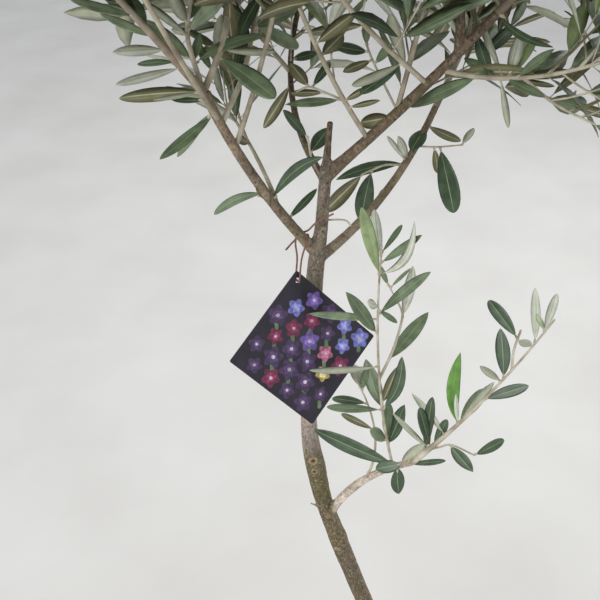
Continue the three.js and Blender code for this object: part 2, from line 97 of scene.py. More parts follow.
# Boughs: where each leaves its limb, its length, the heading and rise it starts on, how far these turn and
# lift, and its radii at root and tip
BOUGHS = {
    "bough_left": dict(on="trunk", height=1118, heading=204, rise=52, length=182, turn=1, lift=16, root=4.6,
                       tip=3.6),
    "bough_right": dict(on="trunk", height=1112, heading=40, rise=13, length=182, turn=9, lift=39, root=4.4,
                        tip=3.1),
    "bough_arm": dict(on="trunk", height=1188, heading=349, rise=46, length=178, turn=1, lift=6, root=4.7,
                      tip=3.3),
    "bough_back": dict(on="trunk", height=1184, heading=127, rise=30, length=178, turn=-60, lift=17, root=3,
                       tip=2.5),
    "bough_leader": dict(on="bough_arm", at=0.8, heading=230, rise=82, length=190, turn=-110, lift=-8,
                         root=3.2, tip=2.6),
    "bough_low": dict(on="trunk", height=805, heading=332, rise=72, length=159, turn=-6, lift=-30, root=4.8,
                      tip=3.2),
    "dead_stub": dict(on="trunk", height=1196, heading=70, rise=76, length=36, turn=0, lift=0, root=3,
                      tip=2.5),
    "spur": dict(on="trunk", height=812, heading=175, rise=25, length=20, turn=0, lift=0, root=2.4,
                 tip=0.9),
}
BOUGH = dict(ring_every=22, collar=0.35, collar_share=0.08)

# Masses of foliage: a stem on its limb, with shoots that start at the share called first. A low mass keeps
# only its stem, and carries the twigs and leaves that the photograph shows.
MASSES = {
    "leaves_left": dict(on="bough_left", at=1, heading=195, rise=54, length=240, turn=6, lift=-6, first=0.2,
                        shoots=5, reach=150, seed=11),
    "leaves_left_upper": dict(on="bough_left", at=0.86, heading=250, rise=50, length=290, turn=-50, lift=32,
                              first=0.25, shoots=6, reach=140, seed=23),
    "leaves_left_inner": dict(on="bough_left", at=0.72, heading=22, rise=67, length=220, turn=40, lift=10,
                              first=0.3, shoots=5, reach=110, seed=37),
    "leaves_left_low": dict(on="bough_left", at=0.33, heading=151, rise=70, length=95, turn=1, lift=-21,
                            first=0.35, shoots=1, reach=50, seed=41),
    "leaves_middle_left": dict(on="bough_arm", at=0.27, heading=201, rise=56, length=300, turn=-10, lift=28,
                               first=0.38, shoots=5, reach=120, seed=53),
    "leaves_middle": dict(on="bough_arm", at=0.44, heading=20, rise=77, length=230, turn=0, lift=8,
                          first=0.35, shoots=4, reach=110, seed=67),
    "leaves_front": dict(on="bough_arm", at=0.62, heading=190, rise=40, length=320, turn=100, lift=16,
                         first=0.4, shoots=6, reach=140, seed=71),
    "leaves_arm_shoot": dict(on="bough_arm", at=0.7, heading=340, rise=-8, length=150, turn=10, lift=45,
                             first=0.3, shoots=3, reach=70, seed=83),
    "leaves_arm_tip": dict(on="bough_arm", at=1, heading=352, rise=50, length=270, turn=0, lift=6,
                           first=0.15, shoots=6, reach=150, seed=97),
    "leaves_top": dict(on="bough_leader", at=1, heading=130, rise=80, length=310, turn=0, lift=4,
                       first=0.12, shoots=8, reach=170, seed=101),
    "leaves_top_front": dict(on="bough_leader", at=0.55, heading=290, rise=42, length=230, turn=5, lift=14,
                             first=0.2, shoots=5, reach=150, seed=113),
    "leaves_top_back": dict(on="bough_leader", at=0.66, heading=82, rise=40, length=280, turn=0, lift=18,
                            first=0.2, shoots=5, reach=150, seed=127),
    "leaves_top_left": dict(on="bough_leader", at=0.78, heading=165, rise=44, length=240, turn=0, lift=14,
                            first=0.25, shoots=5, reach=150, seed=131),
    "leaves_top_right": dict(on="bough_leader", at=0.9, heading=350, rise=46, length=240, turn=6, lift=14,
                             first=0.25, shoots=5, reach=150, seed=151),
    "leaves_right": dict(on="bough_right", at=1, heading=48, rise=50, length=270, turn=-6, lift=16,
                         first=0.15, shoots=6, reach=150, seed=149),
    "leaves_back": dict(on="bough_back", at=1, heading=75, rise=48, length=290, turn=8, lift=24, first=0.12,
                        shoots=6, reach=160, seed=163),
    "leaves_back_left": dict(on="bough_back", at=0.6, heading=160, rise=44, length=270, turn=-10, lift=16,
                             first=0.25, shoots=6, reach=150, seed=179),
    "leaves_low_right": dict(on="bough_low", at=1, heading=333, rise=60, length=219, turn=-4, lift=11,
                             first=0.1, shoots=6, reach=80, seed=183, low=True),
    "leaves_low_middle": dict(on="bough_low", at=0.83, heading=200, rise=76, length=255, turn=-7, lift=15,
                              first=0.1, shoots=5, reach=70, seed=192, low=True),
    "leaves_low_inner": dict(on="bough_low", at=0.54, heading=150, rise=110, length=132, turn=3, lift=-53,
                             first=0.3, shoots=1, reach=40, seed=199, low=True),
}
STEM = dict(steps=6, root=2.1, tip=1.0, sides=10, finer=5, taper=3, young=1.5, ageing=1.4, low=0.72)
SHOOT = dict(steps=2, root=1.4, tip=0.8, sides=6, finer=6, spread=46, spread_vary=28, roll=137.5,
             roll_vary=30, turn_vary=40, lift=8, lift_vary=26, least=0.8, length_vary=0.4, taper=0.4,
             shorter=(1, 0.75, 0.5))
# Finer twigs on each stem and shoot: one for this many millimetres, from this share of its length on
TWIG = dict(every=12.5, first=0.08, length=62, steps=5, root=0.85, tip=0.55, sides=5, seed_step=53)

# Boughs that carry finer twigs themselves, from this share of their length
LEAFY_BOUGHS = {
    "bough_left": dict(twigs_from=0.45, seed=211),
    "bough_right": dict(twigs_from=0.6, seed=223),
    "bough_arm": dict(twigs_from=0.4, seed=227),
    "bough_back": dict(twigs_from=0.4, seed=229),
    "bough_leader": dict(twigs_from=0.1, seed=233),
}

# Leaves come in opposite pairs, each pair a quarter turn round from the last, and a line's last pair is
# smaller and more closed. One share of a leaf's tone is its line's, and the rest is its own.
LEAF = dict(length=57, width=14.5, size_vary=0.34, least_pairs=2, every=15.5, bare=0.12, short_of=0.12,
            angle=46, angle_vary=26, last_closed=0.6, last_small=0.7, narrow=0.9, wide_vary=0.2, level=0.5,
            line_tone=0.7, own_tone=0.3, thick=0.5, fold=0.2, crease=1.3, curl=0.1, curl_vary=0.26,
            curl_power=1.6, twist=0.7, twist_from=0.2, bow=0.14, seed_step=2000)

# The crown's own space: it closes in a dome above its widest height, and tapers below it by a power that is
# higher for twigs and leaves. At the front the foliage starts higher up.
CROWN = dict(right=-70, back=95, radius=370, top=1860, widest=1560, under=1090, vase=1.5, leafy_vase=4)
FRONT = dict(back=10, height=1365, slope=0.27)
# How far foliage stays from limbs, other masses and the card, at how many spots of a shoot and at which
# shares of a leaf this is tested, and how far beyond the box of the solids foliage may end
CLEAR = dict(limb=3, twig=9, card=4, shoot_samples=14, leaf_shares=(0.35, 0.6, 0.8, 1.0), beyond=14)

# In the photograph the grown foliage ends along this line of pixels, and what is nearer to the eye than a
# limb stays this many pixels away from its middle line.
HEM = [(60, -10), (68, 8), (110, 62), (150, 100), (205, 122), (255, 104), (290, 92), (330, 112), (372, 126),
       (430, 118), (470, 96), (530, 112), (600, 126)]
SHOWN = {"trunk": 14, "bough_arm": 11, "bough_left": 9, "bough_right": 9, "bough_low": 9}
SHOWN_STEPS = 60
# The space kept open in front of the leaves that the photograph shows: at how many samples along each, as
# what share of its width, and in pixels in front of the twigs that it shows
SHOWN_LEAF = dict(samples=7, share=0.5, twig=4)

# Twigs that the photograph shows. Each leaves a line and runs through pixels, and its tip is nearer to the
# eye than its root by this many millimetres.
VIEW_TWIGS = {
    "left_upright": dict(on="bough_left", through=[(187, 70), (188, 40), (190, 4), (193, -30)], nearer=12,
                         root=2.2, tip=1.4),
    "left_grey": dict(on="bough_left", through=[(206, 88), (218, 57), (226, 28), (232, -14)], nearer=-20,
                      root=2.6, tip=2.1),
    "left_high": dict(on="bough_left", through=[(222, 124), (241, 81), (248, 57), (254, 25), (262, -14)],
                      nearer=-30, root=2.2, tip=1.5),
    "fork_shoot": dict(on="trunk", through=[(322, 182), (315, 166), (310, 152), (308, 137)], nearer=10,
                       root=1.2, tip=0.8),
    "fork_dead": dict(on="trunk", through=[(328, 221), (344, 220), (351, 226)], nearer=4, root=1.0,
                      tip=0.7),
    "right_shoot": dict(on="bough_right", through=[(400, 162), (386, 165), (372, 170), (363, 174)],
                        nearer=14, root=1.2, tip=0.8),
    "right_level": dict(on="bough_right", through=[(415, 146), (436, 147), (462, 145)], nearer=16, root=1.1,
                        tip=0.8),
    "middle_low": dict(on="leaves_middle_left", through=[(341, 103), (326, 93), (309, 87), (296, 92)],
                       nearer=-14, root=1.1, tip=0.8),
    "middle_thin": dict(on="bough_arm", through=[(390, 104), (380, 76), (370, 54), (362, 30)], nearer=-10,
                        root=1.1, tip=0.8),
    "low_second": dict(on="leaves_low_middle",
                       through=[(384, 378), (393, 350), (401, 324), (402, 312), (396, 299), (389, 286)],
                       nearer=-12, root=1.4, tip=0.8),
    "low_under": dict(on="leaves_low_right", through=[(424, 445), (440, 447), (452, 445), (474, 455)],
                      nearer=8, root=1.1, tip=0.8),
    "low_far": dict(on="leaves_low_right", through=[(512, 370), (514, 350), (521, 330)], nearer=-8,
                    root=1.2, tip=0.9),
}
VIEW_TWIG_STEPS = 6
# A twig or leaf starts at the spot of its line that is nearest to a pixel, of this many for each step.
LINE_SPOTS = 30


class Leaf(NamedTuple):
    """A leaf that the photograph shows: the pixels of its root and its tip, how many pixels wide it looks,
    its tone, whether its under side shows, whether its tip must be nearer to the eye than its root, how far
    it bows to one side, and how sharp its tip is, from 0 to 1"""
    root: tuple
    tip: tuple
    wide: float
    tone: str
    under: bool = False
    near: bool = False
    bow: float = 0
    point: float = None


# Where each tone lies in the range from 0 to 1 that leaves' tones are dealt from; vivid lies beyond it. The
# dark tone is partly a leaf's own deeper green and partly painted shade for leaves that sit in shade.
TONES = {"dark": 0.1, "mid": 0.4, "light": 0.6, "young": 0.9, "vivid": 1.1}

# The leaves that the photograph shows, by the line that carries them
VIEW_LEAVES = [
    ("leaves_low_middle", [
        Leaf((381, 276), (362, 208), 13, "young"), Leaf((384, 257), (374, 210), 11, "young", under=True),
        Leaf((389, 254), (402, 224), 6, "mid"), Leaf((388, 263), (421, 235), 9, "mid"),
        Leaf((384, 315), (429, 272), 11, "mid"), Leaf((378, 319), (308, 313), 9, "light"),
        Leaf((376, 334), (347, 292), 14, "mid"), Leaf((383, 307), (367, 302), 9, "young", under=True),
        Leaf((380, 366), (309, 371), 7, "light", under=True, near=True),
        Leaf((383, 410), (366, 359), 16, "mid"), Leaf((390, 408), (402, 357), 12, "dark", bow=-0.1),
        Leaf((383, 410), (327, 407), 9, "mid"), Leaf((386, 310), (397, 323), 6, "mid"),
        Leaf((392, 440), (370, 430), 12, "light"), Leaf((396, 443), (404, 405), 14, "dark"),
        Leaf((394, 438), (389, 403), 11, "mid")]),
    ("bough_low", [
        Leaf((398, 459), (425, 444), 12, "light", under=True)]),
    ("leaves_low_right", [
        Leaf((454, 420), (456, 394), 5, "young", under=True)]),
    ("leaves_low_inner", [
        Leaf((362, 406), (332, 398), 9, "dark"), Leaf((372, 430), (341, 414), 7, "dark", under=True),
        Leaf((357, 389), (354, 364), 12, "light", under=True), Leaf((360, 392), (368, 366), 8, "mid")]),
    ("bough_low", [
        Leaf((393, 452), (314, 430), 15, "dark", bow=0.02),
        Leaf((400, 455), (376, 469), 13, "dark", near=True), Leaf((396, 462), (399, 494), 14, "dark"),
        Leaf((405, 456), (446, 461), 6, "dark")]),
    ("low_second", [
        Leaf((389, 362), (428, 311), 15, "mid"), Leaf((402, 318), (413, 266), 12, "young", under=True),
        Leaf((390, 288), (411, 268), 4, "light"), Leaf((389, 286), (377, 262), 6, "light")]),
    ("leaves_low_right", [
        Leaf((424, 440), (420, 408), 11, "dark"), Leaf((439, 428), (412, 393), 8, "light", under=True),
        Leaf((416, 440), (433, 397), 11, "dark"), Leaf((433, 445), (447, 420), 10, "dark"),
        Leaf((450, 416), (461, 353), 13, "vivid", bow=0.1),
        Leaf((459, 422), (494, 382), 10, "light", under=True), Leaf((454, 418), (483, 388), 12, "mid"),
        Leaf((488, 404), (529, 385), 12, "dark"), Leaf((500, 380), (480, 366), 8, "light", under=True),
        Leaf((500, 376), (501, 328), 15, "dark"), Leaf((530, 345), (519, 340), 9, "light", under=True),
        Leaf((532, 342), (535, 288), 10, "young", under=True),
        Leaf((545, 334), (557, 294), 9, "young", under=True), Leaf((541, 328), (537, 313), 6, "young")]),
    ("low_far", [
        Leaf((516, 338), (489, 300), 14, "dark")]),
    ("low_under", [
        Leaf((450, 444), (473, 472), 12, "dark"), Leaf((474, 455), (504, 440), 10, "dark")]),
    ("fork_shoot", [
        Leaf((309, 138), (284, 110), 10, "dark"), Leaf((311, 153), (329, 127), 15, "dark")]),
    ("bough_left", [
        Leaf((274, 198), (322, 157), 12, "dark", bow=0.12), Leaf((287, 220), (317, 189), 8, "dark"),
        Leaf((258, 200), (214, 214), 10, "mid", bow=-0.1, point=0), Leaf((208, 117), (160, 160), 11, "mid"),
        Leaf((206, 114), (177, 157), 9, "mid"), Leaf((200, 104), (172, 100), 6, "dark"),
        Leaf((192, 93), (153, 100), 5, "light", under=True), Leaf((217, 82), (213, 99), 10, "dark"),
        Leaf((189, 84), (119, 98), 15, "dark", under=True)]),
    ("leaves_left_low", [
        Leaf((246, 146), (236, 137), 9, "dark", under=True)]),
    ("right_shoot", [
        Leaf((363, 173), (326, 211), 15, "dark", under=True),
        Leaf((372, 170), (361, 222), 19, "dark", point=0.2)]),
    ("bough_right", [
        Leaf((400, 160), (336, 179), 12, "dark", bow=-0.06), Leaf((426, 128), (411, 151), 15, "dark"),
        Leaf((404, 160), (387, 136), 5, "young", under=True),
        Leaf((405, 158), (398, 136), 9, "young", under=True)]),
    ("right_level", [
        Leaf((440, 147), (454, 213), 21, "dark", point=0),
        Leaf((434, 148), (438, 173), 8, "dark", under=True),
        Leaf((462, 145), (474, 128), 7, "light", under=True)]),
    ("bough_arm", [
        Leaf((386, 110), (361, 123), 15, "dark", under=True)]),
    ("leaves_front", [
        Leaf((418, 46), (352, 86), 10, "light", under=True, point=0),
        Leaf((416, 50), (360, 94), 12, "dark")]),
    ("leaves_arm_shoot", [
        Leaf((479, 80), (410, 107), 15, "mid"), Leaf((498, 81), (464, 57), 11, "mid"),
        Leaf((508, 78), (520, 36), 14, "young", under=True),
        Leaf((503, 78), (476, 14), 7, "light", under=True), Leaf((491, 79), (477, 36), 13, "dark"),
        Leaf((505, 82), (545, 97), 9, "mid"), Leaf((509, 78), (537, 36), 10, "young"),
        Leaf((515, 81), (575, 73), 10, "dark", under=True),
        Leaf((512, 82), (555, 86), 6, "dark", under=True), Leaf((516, 79), (554, 49), 9, "mid")]),
    ("bough_arm", [
        Leaf((498, 10), (553, 48), 8, "dark", bow=-0.08)]),
    ("bough_right", [
        Leaf((428, 126), (461, 142), 9, "dark", under=True)]),
    ("leaves_arm_shoot", [
        Leaf((500, 82), (509, 128), 7, "light", under=True)]),
    ("middle_low", [
        Leaf((309, 87), (290, 64), 13, "dark", under=True),
        Leaf((325, 93), (291, 93), 8, "dark", under=True), Leaf((340, 103), (286, 104), 9, "mid"),
        Leaf((312, 88), (330, 62), 9, "dark")]),
    ("bough_back", [
        Leaf((282, 84), (263, 128), 12, "dark", under=True), Leaf((289, 60), (318, 52), 9, "dark")]),
    ("left_grey", [
        Leaf((228, 60), (275, 97), 20, "mid", near=True, point=0),
        Leaf((222, 50), (275, 52), 8, "light", under=True), Leaf((212, 72), (196, 40), 9, "mid")]),
    ("left_high", [
        Leaf((254, 24), (299, 47), 14, "light", point=0), Leaf((255, 28), (298, 9), 10, "mid"),
        Leaf((247, 62), (232, 38), 9, "dark")]),
    ("left_upright", [
        Leaf((188, 66), (264, 35), 12, "mid", bow=0.05), Leaf((187, 64), (143, 19), 15, "light"),
        Leaf((188, 35), (142, 0), 8, "light", under=True), Leaf((189, 31), (226, -6), 16, "light"),
        Leaf((189, 24), (170, -8), 14, "light", under=True), Leaf((188, 64), (200, 32), 10, "mid")]),
    ("leaves_left", [
        Leaf((176, 72), (115, 86), 9, "young", under=True),
        Leaf((160, 56), (112, 53), 11, "young", under=True), Leaf((142, 33), (131, -4), 13, "mid"),
        Leaf((170, 69), (137, 64), 7, "dark"), Leaf((122, 22), (96, 4), 7, "light")]),
    ("left_upright", [
        Leaf((187, 63), (160, 42), 9, "young", under=True), Leaf((189, 22), (203, -8), 9, "mid")]),
    ("leaves_left", [
        Leaf((124, 26), (70, 0), 9, "light"), Leaf((150, 42), (100, 14), 9, "light")]),
    ("leaves_low_middle", [
        Leaf((387, 274), (416, 221), 9, "young", under=True, bow=-0.16),
        Leaf((386, 404), (398, 367), 11, "dark", under=True)]),
    ("leaves_low_right", [
        Leaf((423, 441), (392, 413), 6, "light", under=True)]),
    ("leaves_middle_left", [
        Leaf((326, 55), (343, 34), 14, "dark", under=True),
        Leaf((321, 41), (352, 16), 14, "dark", under=True),
        Leaf((341, 103), (366, 89), 7, "dark", under=True),
        Leaf((344, 109), (381, 101), 6, "dark", under=True)]),
    ("middle_thin", [
        Leaf((366, 46), (366, 17), 9, "mid"), Leaf((369, 52), (332, 45), 11, "dark"),
        Leaf((372, 60), (343, 72), 9, "dark", under=True), Leaf((374, 64), (392, 44), 9, "mid")]),
    ("bough_left", [
        Leaf((274, 200), (255, 189), 7, "dark", under=True, near=True)]),
]
# Such a leaf is longer and wider than it looks by these shares, within limits, and turned edge on by as much
# as its width needs. A share of them reach away from the eye.
VIEW_LEAF = dict(longer=1.13, least=22, most=64, wider=1.12, widest=18, away=0.5, curl=0.05, curl_middle=0.3,
                 twist=0.3, bow=0.04, seed=7)
# The swollen base of each: how far it comes out of its stem, and its radius along the way
LEAF_BASE = dict(stem=1.0, beyond=3.0, radii=(1.2, 1.3, 0.6), sides=6)

# A leaf's outline: the shares of its length that are stalk and as pale as a stalk, the powers that shape its
# base and its tip, and how wide it is at the stalk and at the very tip
OUTLINE = dict(stalk=0.07, pale=0.08, stalk_half=0.085, base=0.8, tip=0.5, tip_vary=0.34, tip_half=0.04)
# The rows and columns of a leaf's mesh: many for the leaves that the photograph shows, fewer for the rest
FINE = dict(
    run=np.array([0, 0.04, 0.08, 0.13, 0.2, 0.29, 0.39, 0.5, 0.61, 0.72, 0.82, 0.9, 0.96, 0.99, 1.0]),
    across=np.array([-1, -0.72, -0.36, -0.045, 0.045, 0.36, 0.72, 1]))
COARSE = dict(run=np.array([0, 0.08, 0.19, 0.38, 0.6, 0.81, 0.95, 1.0]),
              across=np.array([-1, -0.05, 0.05, 1]))
UNDER_ACROSS = np.array([-0.09, 0.09])
# Leaf colours as a picture has them: the upper side's tones from dark to vivid, then the ribs and the tones
# of the under side, and the tone of a leaf from which each of these is dealt. The under side's tones are one
# silvery surface in painted light and shade: the olive tone is painted shade, the pale one is close to its
# own colour, and the white one adds painted light.
# The first, dark upper tone is partly a deeper leaf green and partly painted shade
LEAF_TOPS = [(72, 90, 66), (104, 120, 90), (127, 141, 112), (146, 162, 114), (104, 152, 66)]
LEAF_PARTS = {
    "rib": dict(tone=(150, 162, 128), roughness=0.5),
    "under_rib": dict(tone=(186, 184, 154), roughness=0.6),
    # The olive under tone is painted shade, the pale one is close to the under side's own colour, and the
    # white one adds painted light
    "under_shaded": dict(tone=(120, 116, 82), roughness=0.62),
    "under_pale": dict(tone=(184, 188, 164), roughness=0.62),
    "under_white": dict(tone=(216, 220, 202), roughness=0.62),
}
LEAF_SLOTS = {name: len(LEAF_TOPS) + i for i, name in enumerate(LEAF_PARTS)}
UNDER_FROM = {"under_shaded": 0.0, "under_pale": 0.5, "under_white": 0.85}
PIECE_TRIANGLES = 190000

# A tube's closed end stands out by this share of its radius, and its first side is square to this way.
TUBE = dict(dome=0.3, aside=np.array([0.2, 1, 0.1]))

# The card: its sides, how far its hole is from them, its top corner, and how it is turned
CARD = dict(wide=93, tall=94, inset=6, corner=(-118, 55, 1117), tilt=30, yaw=25, roll=51.6)
# The card's print, in millimetres: rows of flowers with middles, and leaves between them
PRINT = dict(rows=6, columns=5, edge=10, size_vary=0.36, corners=40, lift=0.1, hole_clear=12, leaves=0.5,
             leaf_lean=0.8, leaf_layer=0.5, seed=9, inner=0.55, lighter=1.35)
MOTIFS = {
    "flower": dict(radius=8.0, lobes=5, depth=0.3, narrow=1),
    "middle": dict(radius=1.4, lobes=0, depth=0, narrow=1),
    "leaf": dict(radius=4.2, lobes=2, depth=0.6, narrow=0.8),
}
FLOWER_TONES = ("violet", "plum", "night", "rose", "blue", "violet", "night", "plum", "straw", "night",
                "plum", "blue", "night")
PRINT_TONES = {"violet": (112, 88, 156), "plum": (124, 44, 78), "rose": (190, 112, 140),
               "blue": (126, 128, 204), "straw": (190, 172, 106), "night": (78, 56, 94),
               "leaf": (112, 138, 96), "pale": (216, 210, 216)}

# The wire that the card hangs on: two strands, from the twist at the trunk to the card's hole
WIRE = dict(radius=0.8, sides=10, finer=12)
STRANDS = [
    [(-88, 67, 1164), (-101, 70, 1154.5), (-107.5, 74, 1145), (-111, 76.5, 1141.5), (-117.2, 79, 1137.4),
     (-118.8, 70.5, 1133.5), (-117.4, 66, 1122), (-118.6, 54.2, 1108.9), (-117.1, 50.8, 1109.7)],
    [(-127, 70, 1127.5), (-121, 77, 1131), (-115.8, 79.6, 1134.8), (-108.2, 76.4, 1138.6),
     (-109.9, 67.4, 1135.6), (-113.7, 60.5, 1124), (-115.6, 47.9, 1110.6), (-117.1, 50.8, 1109.7),
     (-117.9, 52.5, 1109.3)],
]

# Bark: its mesh, the radius of a limb that bears the relief in full, the heights in metres that its colours
# run between, the places from left to right between which the boughs turn from sunny to shaded, how far
# outside the trunk their colours start and blend in, and how far the bark reaches below the soil
BARK = dict(sides=24, finer=8, voxel=1.15, smooth=3, smooth_factor=0.5, full_radius=10, thinnest=0.3,
            thickest=1.2, lowest=0.25, highest=1.35, sunny=-0.18, shaded=-0.12, trunk_steps=60, outside=1,
            blend=6, sunk=5, parts=40)
# The relief: how high each of its noises stands, and its scale along x, y and z
RELIEF = [dict(height=0.42, scale=(60, 60, 26)), dict(height=0.2, scale=(260, 260, 130)),
          dict(height=0.18, scale=(90, 90, 420))]
# Where small shoots were cut off or buds sit: the pixel in the photograph, the radius of the rim that has
# healed round each, how far this stands out, and how deep its middle is
SCARS = [
    dict(pixel=(313.5, 463.0), radius=4.4, rim=1.0, pit=1.8),
    dict(pixel=(313.8, 473.5), radius=3.2, rim=0.9, pit=1.3),
    dict(pixel=(337.0, 550.5), radius=3.4, rim=1.0, pit=-1.4),
    dict(pixel=(327.0, 518.0), radius=2.6, rim=0.6, pit=0.4),
    dict(pixel=(318.5, 509.0), radius=4.6, rim=0.2, pit=-1.5),
    dict(pixel=(303.5, 424.0), radius=3.4, rim=0.7, pit=0.5),
    dict(pixel=(344.0, 541.0), radius=18.0, rim=0.0, pit=-3.0),
    dict(pixel=(224.0, 131.0), radius=3.0, rim=0.4, pit=-0.8),
    dict(pixel=(234.0, 151.0), radius=3.2, rim=0.5, pit=-1.0),
    dict(pixel=(266.0, 196.0), radius=3.4, rim=0.5, pit=-1.0),
    dict(pixel=(285.0, 221.0), radius=3.0, rim=0.4, pit=-0.7),
    dict(pixel=(380.0, 190.0), radius=3.0, rim=0.3, pit=-0.8),
    dict(pixel=(357.0, 150.0), radius=3.0, rim=0.3, pit=-0.8),
]
# A scar's rim and middle, in shares of its radius, how pale a rim gets, and within how many pixels of its
# own the spot of the skin nearest to the eye is taken for its middle
SCAR = dict(rim_at=0.75, rim_wide=0.3, middle_wide=0.5, palest=0.75, within=2)

# Colours of the bark by height, with painted sun and painted shade on the upper boughs, and those of its
# flecks, rims and pits
BARK_TONES = dict(
    trunk={0.0: (98, 84, 70), 0.42: (108, 93, 79), 0.51: (105, 92, 69), 0.55: (98, 89, 56),
           0.585: (114, 104, 78), 0.61: (176, 164, 160), 0.66: (176, 164, 156), 0.74: (134, 126, 108),
           0.79: (132, 120, 108), 1.0: (134, 120, 106)},
    sunny={0.78: (162, 148, 128), 0.84: (152, 137, 118), 0.9: (148, 131, 112)},
    shaded={0.54: (232, 218, 206), 0.6: (200, 186, 168), 0.66: (168, 154, 132), 0.78: (156, 142, 122),
            0.84: (130, 115, 97), 0.9: (102, 86, 70)},
    trunk_fleck=(186, 176, 152), bough_fleck=(154, 139, 119), callus=(190, 164, 132), pit=(46, 36, 26))
# Layers over a colour: the noise's scale, detail and stretch, and at places of its range either the factors
# that the colour is multiplied by, or the share of it that a tone covers
BARK_LAYERS = [
    dict(scale=46, detail=4, stretch=(1.5, 1.5, 1),
         times={0.32: (0.66, 0.64, 0.6), 0.68: (1.16, 1.15, 1.13)}),
    dict(scale=170, detail=4, stretch=(1.3, 1.3, 1),
         times={0.38: (0.78, 0.76, 0.74), 0.6: (1.12, 1.12, 1.1)}),
    dict(scale=17, detail=3, cover={0.5: 0, 0.68: 0.55}, tone=(108, 100, 62)),
    dict(scale=300, detail=5, stretch=(1.7, 1.7, 1), times={0.34: (0.42, 0.38, 0.34), 0.46: (1, 1, 1)}),
]
FLECKS = dict(scale=520, detail=3, stretch=(1, 1, 0.7), cover={0.55: 0, 0.67: 0.5})
CLAY_LAYERS = [
    dict(scale=14, detail=6, stretch=(0.25, 0.25, 7), times={0.35: (0.82, 0.82, 0.82), 0.65: (1, 1, 1)}),
    dict(scale=5, detail=8, cover={0.52: 0, 0.74: 0.55}, tone=(220, 190, 168)),
]

# Materials: the noise that each colour follows, with tones at places of its range or shades of one tone, and
# the noise of its bump
LOOKS = {
    "bark": dict(roughness=0.8, bump=dict(scale=300, detail=8, stretch=(1.7, 1.7, 1), strength=0.9,
                                          distance=0.0009)),
    "twig": dict(roughness=0.7, bump=dict(scale=500, detail=4, stretch=(1, 1, 0.4), strength=0.4,
                                          distance=0.0004)),
    "leaf_top": dict(roughness=0.42, scale=90, detail=2, shades={0.35: 0.88, 0.65: 1.12}),
    "leaf_part": dict(scale=120, detail=2, shades={0.35: 0.92, 0.65: 1}),
    "terracotta": dict(roughness=0.86, scale=9, detail=5, layers=CLAY_LAYERS,
                       tones={0.3: (168, 92, 62), 0.55: (190, 112, 80), 0.75: (204, 130, 98)},
                       bump=dict(scale=160, detail=8, strength=0.35, distance=0.0012)),
    "compost": dict(roughness=0.95, scale=220, detail=6, shades={0.3: 0.6, 0.6: 1},
                    bump=dict(scale=300, detail=8, strength=0.9, distance=0.002)),
    "wire_paper": dict(roughness=0.8, scale=500, detail=3, tones={0.3: (104, 70, 62), 0.6: (142, 104, 96)},
                       bump=dict(scale=900, detail=4, strength=0.5, distance=0.0004)),
    "card_print": dict(roughness=0.32, scale=30, detail=4, tones={0.35: (22, 18, 28), 0.65: (44, 34, 50)}),
    "ink": dict(roughness=0.34, scale=260, detail=3, shades={0.36: 0.72, 0.62: 1}),
    "floor": dict(roughness=0.9, scale=3, detail=3, tones={0.3: (190, 187, 183), 0.7: (198, 196, 192)}),
}
COMPOST_TONE = (74, 58, 46)
CHIP_TONE = (116, 88, 66)
TWIG_GRAINS = {
    "young": dict(scale=70, detail=5,
                  tones={0.3: (140, 128, 106), 0.5: (184, 174, 152), 0.7: (212, 204, 184)}),
    "old": dict(scale=90, detail=6,
                tones={0.3: (104, 90, 74), 0.5: (138, 122, 104), 0.7: (170, 156, 136)}),
}

# The studio: half the floor's side, the sky, and the lights, with places in metres and power in watts
FLOOR_HALF = 15000
SKY = dict(colour=(0.92, 0.96, 1, 1), strength=0.86)
LIGHTS = {
    "key": dict(place=(1.2, 1.6, 3.4), target=(0, 0, 1.1), size=2.6, power=88),
    "fill": dict(place=(-2.2, -2.4, 2.4), target=(0, 0, 1.0), size=2.4, power=52),
}


# Draws and lines, as in the part's source

def seeded(seed):
    """Draws between 0 and 1 that follow from a seed"""
    state = (seed * DRAWS["seed_times"] + DRAWS["seed_plus"]) % DRAWS["wrap"]

    def draw():
        nonlocal state
        state = (state * DRAWS["times"]) % DRAWS["wrap"]
        return state / DRAWS["wrap"]

    return draw


def either_way(draw, most):
    """A draw between minus and plus half of the value given"""
    return (draw() - 0.5) * most


def unit(v):
    return v / np.linalg.norm(v, axis=-1, keepdims=True)


def aim(heading, rise):
    level = math.cos(math.radians(rise))
    return np.array([level * math.cos(math.radians(heading)), level * math.sin(math.radians(heading)),
                     math.sin(math.radians(rise))])


def sweep(start, limb, steps):
    points = [np.array(start, float)]
    for i in range(steps):
        share = (i + 0.5) / steps
        way = aim(limb["heading"] + limb["turn"] * share, limb["rise"] + limb["lift"] * share)
        points.append(points[-1] + way * limb["length"] / steps)
    return np.array(points)


def along(points, share):
    """The spot at a share of a line's steps, and the way that the line runs there"""
    place = share * (len(points) - 1)
    i = min(int(place), len(points) - 2)
    way = points[i + 1] - points[i]
    return points[i] + way * (place - i), unit(way)


def length_of(line):
    return np.linalg.norm(np.diff(line, axis=0), axis=1).sum()


def distance_to(points, spots):
    run = points[1:] - points[:-1]
    from_start = spots[:, None] - points[None, :-1]
    share = np.clip((from_start * run).sum(-1) / (run * run).sum(-1), 0, 1)
    return np.linalg.norm(from_start - share[..., None] * run, axis=-1).min(1)


def catmull(values, count):
    """Values at count + 1 even steps along a smooth curve through the given ones"""
    values = np.asarray(values, float)
    last = len(values) - 1
    padded = np.vstack([2 * values[0] - values[1], values, 2 * values[-1] - values[-2]])
    place = np.arange(count + 1) / count * last
    i = np.minimum(place.astype(int), last - 1)
    t = (place - i)[:, None]
    before, start, end, after = (padded[i + k] for k in range(4))
    a, b = 0.5 * (end - before), 0.5 * (after - start)
    return (start + a * t + (-3 * start + 3 * end - 2 * a - b) * t ** 2
            + (2 * start - 2 * end + a + b) * t ** 3)


# The camera's view

